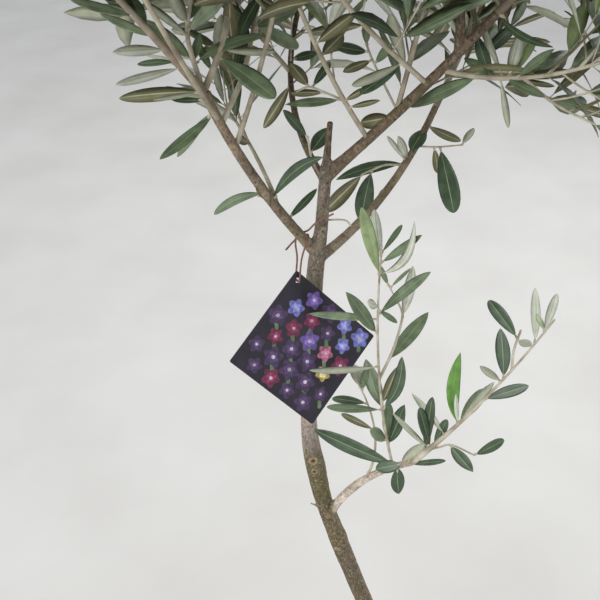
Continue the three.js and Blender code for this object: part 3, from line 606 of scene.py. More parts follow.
EYE = np.array(CAMERA["place"]) / MM
PITCH = math.radians(CAMERA["pitch"])
RIGHT = np.array([1.0, 0.0, 0.0])
AHEAD = np.array([0.0, math.cos(PITCH), -math.sin(PITCH)])
ABOVE = np.array([0.0, math.sin(PITCH), math.cos(PITCH)])
MIDDLE = CAMERA["side"] / 2


def ray(pixel):
    """The way from the eye through a pixel, for each millimetre of depth"""
    u, v = pixel
    return AHEAD + RIGHT * (u - MIDDLE) / CAMERA["focal"] - ABOVE * (v - MIDDLE) / CAMERA["focal"]


def pixels(spots):
    """Where spots are seen, across and down, and their depths"""
    from_eye = spots - EYE
    depth = from_eye @ AHEAD
    return np.column_stack([MIDDLE + CAMERA["focal"] * (from_eye @ RIGHT) / depth,
                            MIDDLE - CAMERA["focal"] * (from_eye @ ABOVE) / depth, depth])


def spot_at(line, pixel):
    """The spot of a line that the photograph shows nearest to a pixel"""
    spots = catmull(line, LINE_SPOTS * (len(line) - 1))
    seen = pixels(spots)
    return spots[np.argmin(np.hypot(seen[:, 0] - pixel[0], seen[:, 1] - pixel[1]))]


# Limbs and the card

def trunk_limb():
    stations = catmull([(s["right"], s["back"], s["height"], s["radius"]) for s in TRUNK], TRUNK_RINGS)
    return {"points": stations[:, :3], "radii": stations[:, 3]}


def share_at(points, height):
    i = int(np.argmax(points[:, 2] > height)) - 1
    return (i + (height - points[i][2]) / (points[i + 1][2] - points[i][2])) / (len(points) - 1)


def bough_limb(bough, parent):
    share = bough["at"] if "at" in bough else share_at(parent["points"], bough["height"])
    steps = max(2, math.floor(bough["length"] / BOUGH["ring_every"] + 0.5))
    points = sweep(along(parent["points"], share)[0], bough, steps)
    run = np.arange(steps + 1) / steps
    radii = (bough["root"] + (bough["tip"] - bough["root"]) * run) * (
        1 + BOUGH["collar"] * np.exp(-run / BOUGH["collar_share"]))
    return {"points": points, "radii": radii}


def card_axes():
    """The card's own frame: down its left edge from the top corner, down its right edge, and out of it"""
    tilt, yaw, roll = (math.radians(CARD[k]) for k in ("tilt", "yaw", "roll"))
    about_z = np.array([[math.cos(yaw), -math.sin(yaw), 0],
                        [math.sin(yaw), math.cos(yaw), 0],
                        [0, 0, 1]])
    about_x = np.array([[1, 0, 0],
                        [0, math.cos(tilt), math.sin(tilt)],
                        [0, -math.sin(tilt), math.cos(tilt)]])
    down = about_z @ about_x @ np.array([-math.sin(roll), 0, -math.cos(roll)])
    across = about_z @ about_x @ np.array([math.cos(roll), 0, -math.sin(roll)])
    return np.array([down, across, np.cross(down, across)])


# Where foliage may grow

def in_crown(spots, vase):
    out = np.hypot(spots[:, 0] - CROWN["right"], spots[:, 1] - CROWN["back"])
    above = (spots[:, 2] - CROWN["widest"]) / (CROWN["top"] - CROWN["widest"])
    below = (CROWN["widest"] - spots[:, 2]) / (CROWN["widest"] - CROWN["under"])
    limit = np.where(above > 0, np.sqrt(np.clip(1 - above ** 2, 0, 1)), 1 - np.clip(below, 0, 1) ** vase)
    lifted = (spots[:, 1] > FRONT["back"]) | (
        spots[:, 2] > FRONT["height"] + FRONT["slope"] * (FRONT["back"] - spots[:, 1]))
    return (above <= 1) & (below <= 1) & (out < CROWN["radius"] * limit) & lifted


def near_card(spots):
    at = (spots - np.array(CARD["corner"], float)) @ card_axes().T
    edge = CLEAR["card"]
    return ((at[:, 0] > -edge) & (at[:, 0] < CARD["tall"] + edge) & (at[:, 1] > -edge)
            & (at[:, 1] < CARD["wide"] + edge) & (np.abs(at[:, 2]) < edge))


def is_free(spots, mass, limbs, vase=CROWN["leafy_vase"]):
    """Says which spots lie in the crown and clear of the card and the limbs."""
    free = ~near_card(spots)
    if not mass.get("low"):
        free &= in_crown(spots, vase)
    for limb in limbs.values():
        free &= distance_to(limb["points"], spots) > limb["radii"].max() + CLEAR["limb"]
    return free


def seen_samples(leaves, twigs):
    """Pixels and depths along the leaves and twigs that the photograph shows, with the space each takes"""
    samples = []
    for leaf in leaves:
        run = np.linspace(0, 1, SHOWN_LEAF["samples"])[:, None] * leaf["run"] * leaf["length"]
        seen = pixels(leaf["root"] + run)
        space = SHOWN_LEAF["share"] * leaf["width"] * CAMERA["focal"] / seen[:, 2]
        samples.append(np.column_stack([seen, space]))
    for line in twigs.values():
        seen = pixels(line)
        samples.append(np.column_stack([seen, np.full(len(seen), SHOWN_LEAF["twig"])]))
    return np.vstack(samples)


def keeps_view(spots, view):
    """Says which spots lie above the hem of the foliage and hide nothing that the photograph shows."""
    u, v, depth = pixels(spots).T
    inside = (depth > 0) & (np.abs(u - MIDDLE) < MIDDLE) & (np.abs(v - MIDDLE) < MIDDLE)
    hidden = v >= np.interp(u, *np.transpose(HEM))
    for line, wide in view["limbs"]:
        apart = np.hypot(u[:, None] - line[:, 0], v[:, None] - line[:, 1])
        hidden |= (apart.min(1) < wide) & (depth < line[apart.argmin(1), 2])
    seen = view["samples"]
    apart = np.hypot(u[:, None] - seen[:, 0], v[:, None] - seen[:, 1])
    hidden |= ((apart < seen[:, 3]) & (depth[:, None] < seen[:, 2])).any(1)
    return ~(inside & hidden)


def in_reach(spots):
    """Says which spots lie in the box of the solids or a little outside it."""
    lowest, highest = np.array(cad_box) / MM
    return ((spots > lowest - CLEAR["beyond"]) & (spots < highest + CLEAR["beyond"])).all(1)


# Growing foliage

def draw_shoot(seed, reach, way, share, number, draw):
    """A shoot that leaves a line which runs this way, at a share of its length"""
    spread = math.radians(SHOOT["spread"] + either_way(draw, SHOOT["spread_vary"]))
    roll = math.radians(seed + number * SHOOT["roll"] + either_way(draw, SHOOT["roll_vary"]))
    side = unit(np.cross(way, UP))
    other = np.cross(way, side)
    aimed = way * math.cos(spread) + (side * math.cos(roll) + other * math.sin(roll)) * math.sin(spread)
    length = reach * (SHOOT["least"] + SHOOT["length_vary"] * draw()) * (1 - SHOOT["taper"] * share)
    return {
        "heading": math.degrees(math.atan2(aimed[1], aimed[0])),
        "rise": math.degrees(math.asin(aimed[2])),
        "length": length,
        "turn": either_way(draw, SHOOT["turn_vary"]),
        "lift": SHOOT["lift"] + draw() * SHOOT["lift_vary"],
    }


def grow_shoots(mass, masses, limbs):
    """Shoots on the mass's stem, shortened or left out where they would meet something"""
    draw = seeded(mass["seed"])
    others = [line for other in masses if other is not mass for line in other["lines"]]
    samples = CLEAR["shoot_samples"]
    for k in range(mass["shoots"]):
        share = mass["first"] + (1 - mass["first"]) * (k + draw()) / mass["shoots"]
        point, way = along(mass["stem"], share)
        shoot = draw_shoot(mass["seed"], mass["reach"], way, share, k, draw)
        for shorter in SHOOT["shorter"]:
            points = sweep(point, {**shoot, "length": shoot["length"] * shorter}, SHOOT["steps"])
            spots = np.array([along(points, (i + 1) / samples)[0] for i in range(samples)])
            apart = all((distance_to(line, spots) > CLEAR["twig"]).all() for line in others)
            if apart and is_free(spots, mass, limbs, CROWN["vase"]).all():
                mass["lines"].append(points)
                break


def grow_twigs(mass, limbs, view):
    """Finer twigs on the mass's stem and shoots, by the same rule"""
    draw = seeded(mass["seed"] + LEAF["seed_step"])
    for number, line in enumerate(mass["lines"]):
        first = mass.get("twigs_from", TWIG["first"]) if number == 0 else TWIG["first"]
        count = int((1 - first) * length_of(line) / TWIG["every"])
        seed = mass["seed"] + number * TWIG["seed_step"]
        for k in range(count):
            share = first + (1 - first) * (k + draw()) / count
            point, way = along(line, share)
            points = sweep(point, draw_shoot(seed, TWIG["length"], way, share, k, draw), TWIG["steps"])
            free = is_free(points[2:], mass, limbs).all()
            if free and keeps_view(points[1:], view).all() and in_reach(points).all():
                mass["twigs"].append(points)


def grow_leaves(mass):
    """Pairs of leaves on every line: a root, the ways it runs and faces, a length, a width and its bends"""
    draw = seeded(mass["seed"] + 2 * LEAF["seed_step"])
    runs = []
    if "stem" in mass:
        runs = [(line, mass["first"] if i == 0 else LEAF["bare"]) for i, line in enumerate(mass["lines"])]
    runs += [(line, LEAF["bare"]) for line in mass["twigs"]]
    for line, bare in runs:
        tone = draw()
        pairs = max(LEAF["least_pairs"], round((1 - bare) * length_of(line) / LEAF["every"]))
        for k in range(1, pairs + 1):
            point, way = along(line, bare + (1 - bare) * (k - LEAF["short_of"]) / pairs)
            side = unit(np.cross(way, UP))
            out = side if k % 2 else np.cross(way, side)
            closed, small = (LEAF["last_closed"], LEAF["last_small"]) if k == pairs else (1, 1)
            for hand in (-1, 1):
                angle = math.radians(LEAF["angle"] + either_way(draw, LEAF["angle_vary"])) * closed
                size = (1 + either_way(draw, LEAF["size_vary"])) * small
                run = way * math.cos(angle) + hand * out * math.sin(angle)
                face = unit(way - run * (way @ run))
                face = unit(face + LEAF["level"] * (UP - run * run[2]))
                mass["leaves"].append({
                    "root": point, "run": run, "face": face, "length": LEAF["length"] * size,
                    "width": LEAF["width"] * size * (LEAF["narrow"] + LEAF["wide_vary"] * draw()),
                    "curl": LEAF["curl"] + either_way(draw, LEAF["curl_vary"]),
                    "twist": either_way(draw, LEAF["twist"]),
                    "tone": tone * LEAF["line_tone"] + draw() * LEAF["own_tone"],
                    "bow": either_way(draw, LEAF["bow"]), "point": draw()})


def drop_leaves(mass, limbs, view):
    """Leaves that would leave the crown or touch a limb or the card are dropped."""
    if not mass["leaves"]:
        return
    roots = np.array([leaf["root"] for leaf in mass["leaves"]])
    runs = np.array([leaf["run"] * leaf["length"] for leaf in mass["leaves"]])
    keep = np.ones(len(roots), bool)
    for share in CLEAR["leaf_shares"]:
        spots = roots + runs * share
        keep &= is_free(spots, mass, limbs) & keeps_view(spots, view) & in_reach(spots)
    mass["leaves"] = [leaf for leaf, kept in zip(mass["leaves"], keep) if kept]


def view_twigs(lines):
    """The twigs that the photograph shows, from a spot on the line that carries each"""
    made = {}
    for name, twig in VIEW_TWIGS.items():
        root = spot_at(lines[twig["on"]], twig["through"][0])
        depth = (root - EYE) @ AHEAD
        count = len(twig["through"]) - 1
        points = [root] + [EYE + ray(pixel) * (depth - twig["nearer"] * (i + 1) / count)
                           for i, pixel in enumerate(twig["through"][1:])]
        made[name] = lines[name] = catmull(points, VIEW_TWIG_STEPS * count)
    return made


def view_leaf(shown, on, lines, draw):
    """A leaf from its line to where the photograph shows its tip, as long and as wide as it looks there"""
    root = spot_at(lines[on], shown.root)
    depth = (root - EYE) @ AHEAD
    way = ray(shown.tip)
    from_root = EYE - root
    flat = np.linalg.norm(from_root + way * depth)
    length = min(max(flat * VIEW_LEAF["longer"], VIEW_LEAF["least"]), VIEW_LEAF["most"])
    a, b, c = way @ way, from_root @ way, from_root @ from_root - length ** 2
    reach = math.sqrt(max(b * b - a * c, 0)) / a
    away = draw() < VIEW_LEAF["away"] and not shown.near
    tip = EYE + way * (-b / a + (reach if away else -reach))
    run = unit(tip - root)
    towards = unit(EYE - root)
    face = unit(towards - run * (towards @ run))
    wide = shown.wide * depth / CAMERA["focal"]
    width = min(wide * VIEW_LEAF["wider"], VIEW_LEAF["widest"])
    turn = math.acos(min(1, wide / width))
    side = np.cross(run, face)
    turn = turn if side[2] > 0 else -turn
    hand = -1 if shown.under else 1
    face = (face * math.cos(turn) + side * math.sin(turn)) * hand
    curl = VIEW_LEAF["curl"] * (draw() - VIEW_LEAF["curl_middle"])
    twist = either_way(draw, VIEW_LEAF["twist"])
    bow = (shown.bow + either_way(draw, VIEW_LEAF["bow"])) * hand
    point = draw()
    return {"on": on, "root": root, "run": run, "face": face, "length": float(np.linalg.norm(tip - root)),
            "width": width, "curl": curl, "twist": twist, "bow": bow,
            "point": point if shown.point is None else shown.point, "tone": TONES[shown.tone]}


# Meshes

def make_object(name, vertices, faces, materials, indices=None, smooth=True):
    """An object from vertices in millimetres and faces as lists of arrays with the same corner count each"""
    mesh = bpy.data.meshes.new(name)
    corners = np.concatenate([np.asarray(block).ravel() for block in faces])
    sizes = np.concatenate([np.full(len(block), np.asarray(block).shape[1]) for block in faces])
    mesh.vertices.add(len(vertices))
    mesh.vertices.foreach_set("co", (np.asarray(vertices) * MM).astype(np.float32).ravel())
    mesh.loops.add(len(corners))
    mesh.loops.foreach_set("vertex_index", corners.astype(np.int32))
    mesh.polygons.add(len(sizes))
    mesh.polygons.foreach_set("loop_start", (np.cumsum(sizes) - sizes).astype(np.int32))
    if indices is not None:
        mesh.polygons.foreach_set("material_index", np.asarray(indices, np.int32))
    mesh.polygons.foreach_set("use_smooth", np.full(len(sizes), smooth))
    mesh.update(calc_edges=True)
    mesh.validate()
    for each in materials:
        mesh.materials.append(each)
    made = bpy.data.objects.new(name, mesh)
    bpy.context.scene.collection.objects.link(made)
    return made


def vertices_of(mesh, what="co"):
    """The places of a mesh's vertices, or their normals"""
    values = np.empty(len(mesh.vertices) * 3, np.float32)
    mesh.vertices.foreach_get(what, values)
    return values.reshape(-1, 3)


def give_attribute(mesh, name, values):
    layer = mesh.attributes.new(name, "FLOAT", "POINT")
    layer.data.foreach_set("value", values.astype(np.float32))


def applied(made):
    """The object with its modifiers applied"""
    bpy.context.view_layer.update()
    solid = made.evaluated_get(bpy.context.evaluated_depsgraph_get())
    mesh = bpy.data.meshes.new_from_object(solid)
    made.modifiers.clear()
    made.data = mesh
    return made


def remeshed(made):
    """The object with one closed even skin, smoothed a little"""
    remesh = made.modifiers.new("skin", "REMESH")
    remesh.mode = "VOXEL"
    remesh.voxel_size = BARK["voxel"] * MM
    remesh.use_smooth_shade = True
    even = made.modifiers.new("even", "SMOOTH")
    even.factor = BARK["smooth_factor"]
    even.iterations = BARK["smooth"]
    return applied(made)


def ring_faces(count, sides):
    """Faces between rings of points, and caps to the two points that come after the rings"""
    here = np.arange(sides)
    after = (here + 1) % sides
    quads = np.vstack([np.column_stack([i * sides + here, i * sides + after, (i + 1) * sides + after,
                                        (i + 1) * sides + here]) for i in range(count - 1)])
    last, start = (count - 1) * sides, count * sides
    caps = np.vstack([np.column_stack([after, here, np.full(sides, start)]),
                      np.column_stack([last + here, last + after, np.full(sides, start + 1)])])
    return quads, caps


def tube(points, radii, sides):
    """A closed tube along a line of points: its vertices and its faces"""
    ways = unit(np.gradient(points, axis=0))
    side = unit(np.cross(ways[0], TUBE["aside"]))
    turns = np.arange(sides) * 2 * math.pi / sides
    rings = []
    for point, way, radius in zip(points, ways, radii):
        side = unit(side - way * (side @ way))
        other = np.cross(way, side)
        rings.append(point + radius * (np.cos(turns)[:, None] * side + np.sin(turns)[:, None] * other))
    start = points[:1] - ways[:1] * radii[0] * TUBE["dome"]
    end = points[-1:] + ways[-1:] * radii[-1] * TUBE["dome"]
    return (np.vstack([*rings, start, end]), *ring_faces(len(points), sides))


def lathe(name, profile, sides, materials):
    """A closed body turned round the Z axis from a profile that starts and ends on it"""
    turns = np.arange(sides) * 2 * math.pi / sides
    inner = np.array(profile[1:-1], float)
    rings = np.stack([inner[:, :1] * np.cos(turns), inner[:, :1] * np.sin(turns),
                      np.repeat(inner[:, 1:], sides, axis=1)], axis=-1)
    vertices = np.vstack([rings.reshape(-1, 3), [(0, 0, profile[0][1])], [(0, 0, profile[-1][1])]])
    return make_object(name, vertices, ring_faces(len(inner), sides), materials)


class Pile:
    """Gathers tubes into one mesh."""

    def __init__(self):
        self.vertices = []
        self.quads = []
        self.triangles = []
        self.ages = []
        self.count = 0

    def add(self, vertices, quads, triangles, age=0.0):
        self.vertices.append(vertices)
        self.quads.append(quads + self.count)
        self.triangles.append(triangles + self.count)
        self.ages.append(np.full(len(vertices), age) if np.isscalar(age) else age)
        self.count += len(vertices)

    def make(self, name, materials, smooth=True):
        faces = [np.vstack(self.quads), np.vstack(self.triangles)]
        return make_object(name, np.vstack(self.vertices), faces, materials, smooth=smooth)


# Leaves

def leaf_half(run, point):
    """Half a leaf's width at shares of its length, as a share of its greatest"""
    t = np.clip((run - OUTLINE["stalk"]) / (1 - OUTLINE["stalk"]), 0, 1)
    tip = OUTLINE["tip"] + OUTLINE["tip_vary"] * point
    widest = OUTLINE["base"] / (OUTLINE["base"] + tip)
    blade = (t / widest) ** OUTLINE["base"] * ((1 - t) / (1 - widest)) ** tip
    return np.maximum(blade, np.where(run < 1, OUTLINE["stalk_half"], OUTLINE["tip_half"]))


def leaf_grid(shape):
    """Faces of one leaf: an upper sheet, and an under sheet on the same edges, with their kinds"""
    top, under, rows = len(shape["across"]), len(UNDER_ACROSS), len(shape["run"])
    stalk = shape["run"][1:] <= OUTLINE["pale"]
    quads, kinds = [], []
    for i in range(rows - 1):
        for j in range(top - 1):
            a = i * top + j
            quads.append([a, a + top, a + top + 1, a + 1])
            blade = LEAF_SLOTS["rib"] if j == (top - 1) // 2 else 0
            kinds.append(LEAF_SLOTS["under_rib"] if stalk[i] else blade)

    def under_row(i):
        first = rows * top + i * under
        return [i * top, *range(first, first + under), (i + 1) * top - 1]

    for i in range(rows - 1):
        here, beyond = under_row(i), under_row(i + 1)
        for j in range(under + 1):
            quads.append([here[j], here[j + 1], beyond[j + 1], beyond[j]])
            # Under faces start in the painted shade tone; leaf_object gives lighter leaves the lit tones
            kinds.append(LEAF_SLOTS["under_rib" if j == under // 2 or stalk[i] else "under_shaded"])
    return np.array(quads), np.array(kinds)


def leaf_vertices(leaves, shape):
    """Vertices of all leaves at once, one row of points for each leaf"""
    length, width, curl, twist, bow, point = (
        np.array([leaf[key] for leaf in leaves], float)[:, None]
        for key in ("length", "width", "curl", "twist", "bow", "point"))
    root, run, face = (np.array([leaf[key] for leaf in leaves])[:, None] for key in ("root", "run", "face"))
    across = np.cross(face, run)
    blocks = []
    for spread, lower in ((shape["across"], 0.0), (UNDER_ACROSS, LEAF["thick"])):
        s = np.repeat(shape["run"], len(spread))[None]
        a = np.tile(spread, len(shape["run"]))[None]
        y = a * (leaf_half(s, point) * width / 2)
        z = LEAF["fold"] * np.abs(y) * (LEAF["crease"] - np.abs(a)) - lower
        bend = curl * s ** LEAF["curl_power"]
        x = length * (s - bend ** 2 * s / 3)
        z = z - length * bend * s
        turn = twist * (s - LEAF["twist_from"])
        y, z = y * np.cos(turn) - z * np.sin(turn), y * np.sin(turn) + z
        y = y + bow * length * 4 * s * (1 - s)
        blocks.append(root + x[..., None] * run + y[..., None] * across + z[..., None] * face)
    return np.concatenate(blocks, axis=1)


def leaf_object(name, leaves, shape, materials):
    quads, kinds = leaf_grid(shape)
    vertices = leaf_vertices(leaves, shape)
    firsts = np.arange(len(leaves)) * vertices.shape[1]
    faces = (quads[None] + firsts[:, None, None]).reshape(-1, 4)
    tone = np.array([leaf["tone"] for leaf in leaves])[:, None]
    brightest = len(LEAF_TOPS) - 1
    tops = np.minimum((tone * brightest).astype(int), brightest)
    indices = np.where(kinds[None] == 0, tops, kinds[None])
    # Darker leaves keep the under side in painted shade, and lighter ones get its lit tones with painted
    # light
    for kind, first in UNDER_FROM.items():
        dealt = (kinds[None] == LEAF_SLOTS["under_shaded"]) & (tone >= first)
        indices = np.where(dealt, LEAF_SLOTS[kind], indices)
    return make_object(name, vertices.reshape(-1, 3), [faces], materials, indices.ravel())


# Materials

def linear(tone):
    """A colour as the shader takes it, from its values as a picture has them"""
    values = [c / 255 for c in tone]
    return (*[v / 12.92 if v <= 0.04045 else ((v + 0.055) / 1.055) ** 2.4 for v in values], 1)


class Surface:
    """A material with small helpers for its nodes"""

    def __init__(self, name, roughness):
        self.material = bpy.data.materials.new(name)
        self.material.use_nodes = True
        self.nodes = self.material.node_tree.nodes
        self.links = self.material.node_tree.links
        self.shader = self.nodes["Principled BSDF"]
        self.shader.inputs["Roughness"].default_value = roughness
        self.place = self.nodes.new("ShaderNodeTexCoord").outputs["Object"]

    def feed(self, socket, value):
        """Gives a node's input a link or a plain value."""
        if isinstance(value, bpy.types.NodeSocket):
            self.links.new(value, socket)
        else:
            socket.default_value = value

    def node(self, kind, **inputs):
        """A node of a kind, and its inputs by name, with an underscore for each space"""
        node = self.nodes.new("ShaderNode" + kind)
        for name, value in inputs.items():
            self.feed(node.inputs[name.replace("_", " ")], value)
        return node

    def attribute(self, name):
        node = self.node("Attribute")
        node.attribute_name = name
        return node.outputs["Fac"]

    def noise(self, scale, detail, stretch=None):
        place = self.place
        if stretch:
            place = self.node("Mapping", Vector=place, Scale=stretch).outputs["Vector"]
        return self.node("TexNoise", Vector=place, Scale=scale, Detail=detail).outputs["Fac"]

    def share(self, value, lowest, highest):
        return self.node("MapRange", Value=value, From_Min=lowest, From_Max=highest).outputs["Result"]

    def ramp(self, value, colours):
        node = self.node("ValToRGB", Fac=value)
        elements = node.color_ramp.elements
        while len(elements) < len(colours):
            elements.new(0.5)
        for element, (place, colour) in zip(elements, colours.items()):
            element.position = place
            element.color = colour
        return node.outputs["Color"]

    def toned(self, value, tones):
        return self.ramp(value, {place: linear(tone) for place, tone in tones.items()})

    def grain(self, scale, detail, tones):
        return self.toned(self.noise(scale, detail), tones)

    def mask(self, scale, detail, cover, stretch=None):
        greys = {place: (share, share, share, 1) for place, share in cover.items()}
        return self.ramp(self.noise(scale, detail, stretch), greys)

    def mix(self, share, first, second, blend="MIX"):
        node = self.node("Mix")
        node.data_type = "RGBA"
        node.blend_type = blend
        enabled = {socket.name: socket for socket in node.inputs if socket.enabled}
        for name, value in (("Factor", share), ("A", first), ("B", second)):
            self.feed(enabled[name], value)
        return next(socket for socket in node.outputs if socket.enabled)

    def layer(self, colour, scale, detail, stretch=None, times=None, cover=None, tone=None):
        """The colour under one more layer, which either multiplies it or covers it with a tone"""
        if cover:
            return self.mix(self.mask(scale, detail, cover, stretch), colour, linear(tone))
        factors = {place: (*factor, 1) for place, factor in times.items()}
        return self.mix(1.0, colour, self.ramp(self.noise(scale, detail, stretch), factors), "MULTIPLY")

    def bump(self, scale, detail, strength, distance, stretch=None):
        height = self.noise(scale, detail, stretch)
        self.feed(self.shader.inputs["Normal"],
                  self.node("Bump", Strength=strength, Distance=distance, Height=height).outputs["Normal"])

    def colour(self, value):
        self.feed(self.shader.inputs["Base Color"], value)


def speckled(name, roughness, scale, detail, tones=None, tone=None, shades=None, layers=(), bump=None):
    """A material whose colour follows a noise, through tones or through shades of one tone"""
    skin = Surface(name, roughness)
    if shades:
        tones = {place: [min(255, c * factor) for c in tone] for place, factor in shades.items()}
    colour = skin.grain(scale, detail, tones)
    for layer in layers:
        colour = skin.layer(colour, **layer)
    skin.colour(colour)
    if bump:
        skin.bump(**bump)
    return skin.material


def leaf_materials():
    tops = [speckled(f"leaf_top_{i}", tone=tone, **LOOKS["leaf_top"]) for i, tone in enumerate(LEAF_TOPS)]
    parts = [speckled(f"leaf_{name}", **part, **LOOKS["leaf_part"]) for name, part in LEAF_PARTS.items()]
    return tops + parts


def bark_material():
    bark = Surface("bark", LOOKS["bark"]["roughness"])
    parts = bark.node("SeparateXYZ", Vector=bark.place).outputs
    height = bark.share(parts["Z"], BARK["lowest"], BARK["highest"])
    trunk, sunny, shaded = (bark.toned(height, BARK_TONES[part]) for part in ("trunk", "sunny", "shaded"))
    # Painted light and shade: the upper boughs on the left take the sunny colours, and those on the right
    # take the shaded ones, which are darker up high
    boughs = bark.mix(bark.share(parts["X"], BARK["sunny"], BARK["shaded"]), sunny, shaded)
    away = bark.attribute("away")
    colour = bark.mix(away, trunk, boughs)
    for layer in BARK_LAYERS:
        colour = bark.layer(colour, **layer)
    fleck = bark.mix(away, linear(BARK_TONES["trunk_fleck"]), linear(BARK_TONES["bough_fleck"]))
    colour = bark.mix(bark.mask(**FLECKS), colour, fleck)
    for mark in ("callus", "pit"):
        colour = bark.mix(bark.attribute(mark), colour, linear(BARK_TONES[mark]))
    bark.colour(colour)
    bark.bump(**LOOKS["bark"]["bump"])
    return bark.material


def twig_material():
    twig = Surface("twig", LOOKS["twig"]["roughness"])
    young, old = (twig.grain(**TWIG_GRAINS[age]) for age in ("young", "old"))
    twig.colour(twig.mix(twig.attribute("old"), young, old))
    twig.bump(**LOOKS["twig"]["bump"])
    return twig.material


# Making the tree

limbs = {"trunk": trunk_limb()}
for name, bough in BOUGHS.items():
    limbs[name] = bough_limb(bough, limbs[bough["on"]])

masses = []
for name, entry in MASSES.items():
    stem = sweep(along(limbs[entry["on"]]["points"], entry["at"])[0], entry, STEM["steps"])
    masses.append({**entry, "name": name, "stem": stem, "lines": [stem], "twigs": [], "leaves": []})
for mass in masses:
    grow_shoots(mass, masses, limbs)

lines = {name: limb["points"] for name, limb in limbs.items()}
lines.update({mass["name"]: mass["stem"] for mass in masses})
masses += [{"name": name, "lines": [lines[name]], "twigs": [], "leaves": [], **leafy}
           for name, leafy in LEAFY_BOUGHS.items()]
seen_twigs = view_twigs(lines)
view_draw = seeded(VIEW_LEAF["seed"])
seen_leaves = [view_leaf(shown, on, lines, view_draw) for on, group in VIEW_LEAVES for shown in group]
view = {"limbs": [(pixels(catmull(lines[name], SHOWN_STEPS)), wide) for name, wide in SHOWN.items()],
        "samples": seen_samples(seen_leaves, seen_twigs)}
for mass in masses:
    if mass.get("low"):
        mass["lines"] = mass["lines"][:1]
        continue
    grow_twigs(mass, limbs, view)
    grow_leaves(mass)
    drop_leaves(mass, limbs, view)


def bark_skin():
    """One skin over the trunk and boughs, with relief, healed scars, buds, and marks for its colours"""
    pile = Pile()
    for limb in limbs.values():
        steps = (len(limb["points"]) - 1) * BARK["finer"]
        radii = catmull(limb["radii"][:, None], steps)[:, 0]
        pile.add(*tube(catmull(limb["points"], steps), radii, BARK["sides"]))
    skin = remeshed(pile.make("bark_skin", []))
    co = vertices_of(skin.data)
    normals = vertices_of(skin.data, "normal")
    trunk = limbs["trunk"]
    girth = np.interp(co[:, 2] / MM, trunk["points"][:, 2], trunk["radii"])
    lift = np.array([sum(layer["height"] * noise.noise(Vector(place) * Vector(layer["scale"]))
                         for layer in RELIEF) for place in co.tolist()])
    lift *= np.clip(girth / BARK["full_radius"], BARK["thinnest"], BARK["thickest"])
    seen = pixels(co / MM)
    callus, pit = np.zeros(len(co)), np.zeros(len(co))
    for scar in SCARS:
        near = np.hypot(seen[:, 0] - scar["pixel"][0], seen[:, 1] - scar["pixel"][1])
        nearest = np.where(near < SCAR["within"], seen[:, 2], np.inf).argmin()
        out = np.linalg.norm(co - co[nearest], axis=1) / MM / scar["radius"]
        rim = np.exp(-((out - SCAR["rim_at"]) / SCAR["rim_wide"]) ** 2)
        middle = np.exp(-(out / SCAR["middle_wide"]) ** 2)
        lift += scar["rim"] * rim - scar["pit"] * middle
        callus = np.maximum(callus, min(SCAR["palest"], scar["rim"]) * rim)
        pit = np.maximum(pit, middle * min(1, max(0, scar["pit"])))
    trunk_line = catmull(trunk["points"], BARK["trunk_steps"])
    away = np.concatenate([distance_to(trunk_line, part) for part in np.array_split(co / MM, BARK["parts"])])
    away = np.clip((away - girth - BARK["outside"]) / BARK["blend"], 0, 1)
    co += normals * (lift * MM)[:, None]
    co[:, 2] = np.maximum(co[:, 2], (SOIL_TOP - BARK["sunk"]) * MM)
    skin.data.vertices.foreach_set("co", co.ravel())
    for name, values in (("away", away), ("callus", callus), ("pit", pit)):
        give_attribute(skin.data, name, values)
    skin.data.update()
    skin.data.materials.append(bark_material())
    return skin


bark = bark_skin()
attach(bark, "root")
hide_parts(*limbs)


def twig_piece():
    """Stems, shoots and twigs, those that the photograph shows, and the swollen bases of its leaves"""
    pile = Pile()
    for mass in masses:
        for number, line in enumerate(mass["lines"] if "stem" in mass else []):
            size = SHOOT if number else STEM
            steps = (len(line) - 1) * size["finer"]
            radii = np.linspace(size["root"], size["tip"], steps + 1)
            radii *= STEM["low"] if mass.get("low") else 1
            if number == 0 and mass["at"] == 1:
                run = np.arange(steps + 1) / steps
                radii += (limbs[mass["on"]]["radii"][-1] - radii[0]) * (1 - run) ** STEM["taper"]
            aged = np.clip((radii - STEM["young"]) / STEM["ageing"], 0, 0 if mass.get("low") else 1)
            aged = np.append(np.repeat(aged, size["sides"]), [aged[0], aged[-1]])
            pile.add(*tube(catmull(line, steps), radii, size["sides"]), aged)
        for line in mass["twigs"]:
            pile.add(*tube(line, np.linspace(TWIG["root"], TWIG["tip"], len(line)), TWIG["sides"]))
    for name, line in seen_twigs.items():
        twig = VIEW_TWIGS[name]
        pile.add(*tube(line, np.linspace(twig["root"], twig["tip"], len(line)), SHOOT["sides"]))
    for leaf in seen_leaves:
        on = leaf["on"]
        surface = limbs[on]["radii"].mean() if on in limbs else LEAF_BASE["stem"]
        runs = np.array([0, surface, surface + LEAF_BASE["beyond"]])
        pile.add(*tube(leaf["root"] + runs[:, None] * leaf["run"], LEAF_BASE["radii"], LEAF_BASE["sides"]))
    made = pile.make("twigs", [twig_material()])
    give_attribute(made.data, "old", np.concatenate(pile.ages))
    return made


twigs = twig_piece()
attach(twigs, "root")

# Whole masses share a piece up to its limit of triangles, and the leaves that the photograph shows have one.
skins = leaf_materials()
leaf_triangles = 2 * len(leaf_grid(COARSE)[0])
batches = [([], [], COARSE)]
for mass in masses:
    held = len(batches[-1][0])
    if held and (held + len(mass["leaves"])) * leaf_triangles > PIECE_TRIANGLES:
        batches.append(([], [], COARSE))
    group, taken = batches[-1][:2]
    group.extend(mass["leaves"])
    if "stem" in mass and not mass.get("low"):
        taken.append(mass["name"])
batches.append((seen_leaves, [mass["name"] for mass in masses if mass.get("low")], FINE))
for number, (group, taken, shape) in enumerate(batches):
    piece = leaf_object(f"leaves_{number}", group, shape, skins)
    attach(piece, "root")
    if taken:
        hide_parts(*taken)


# The pot and its soil

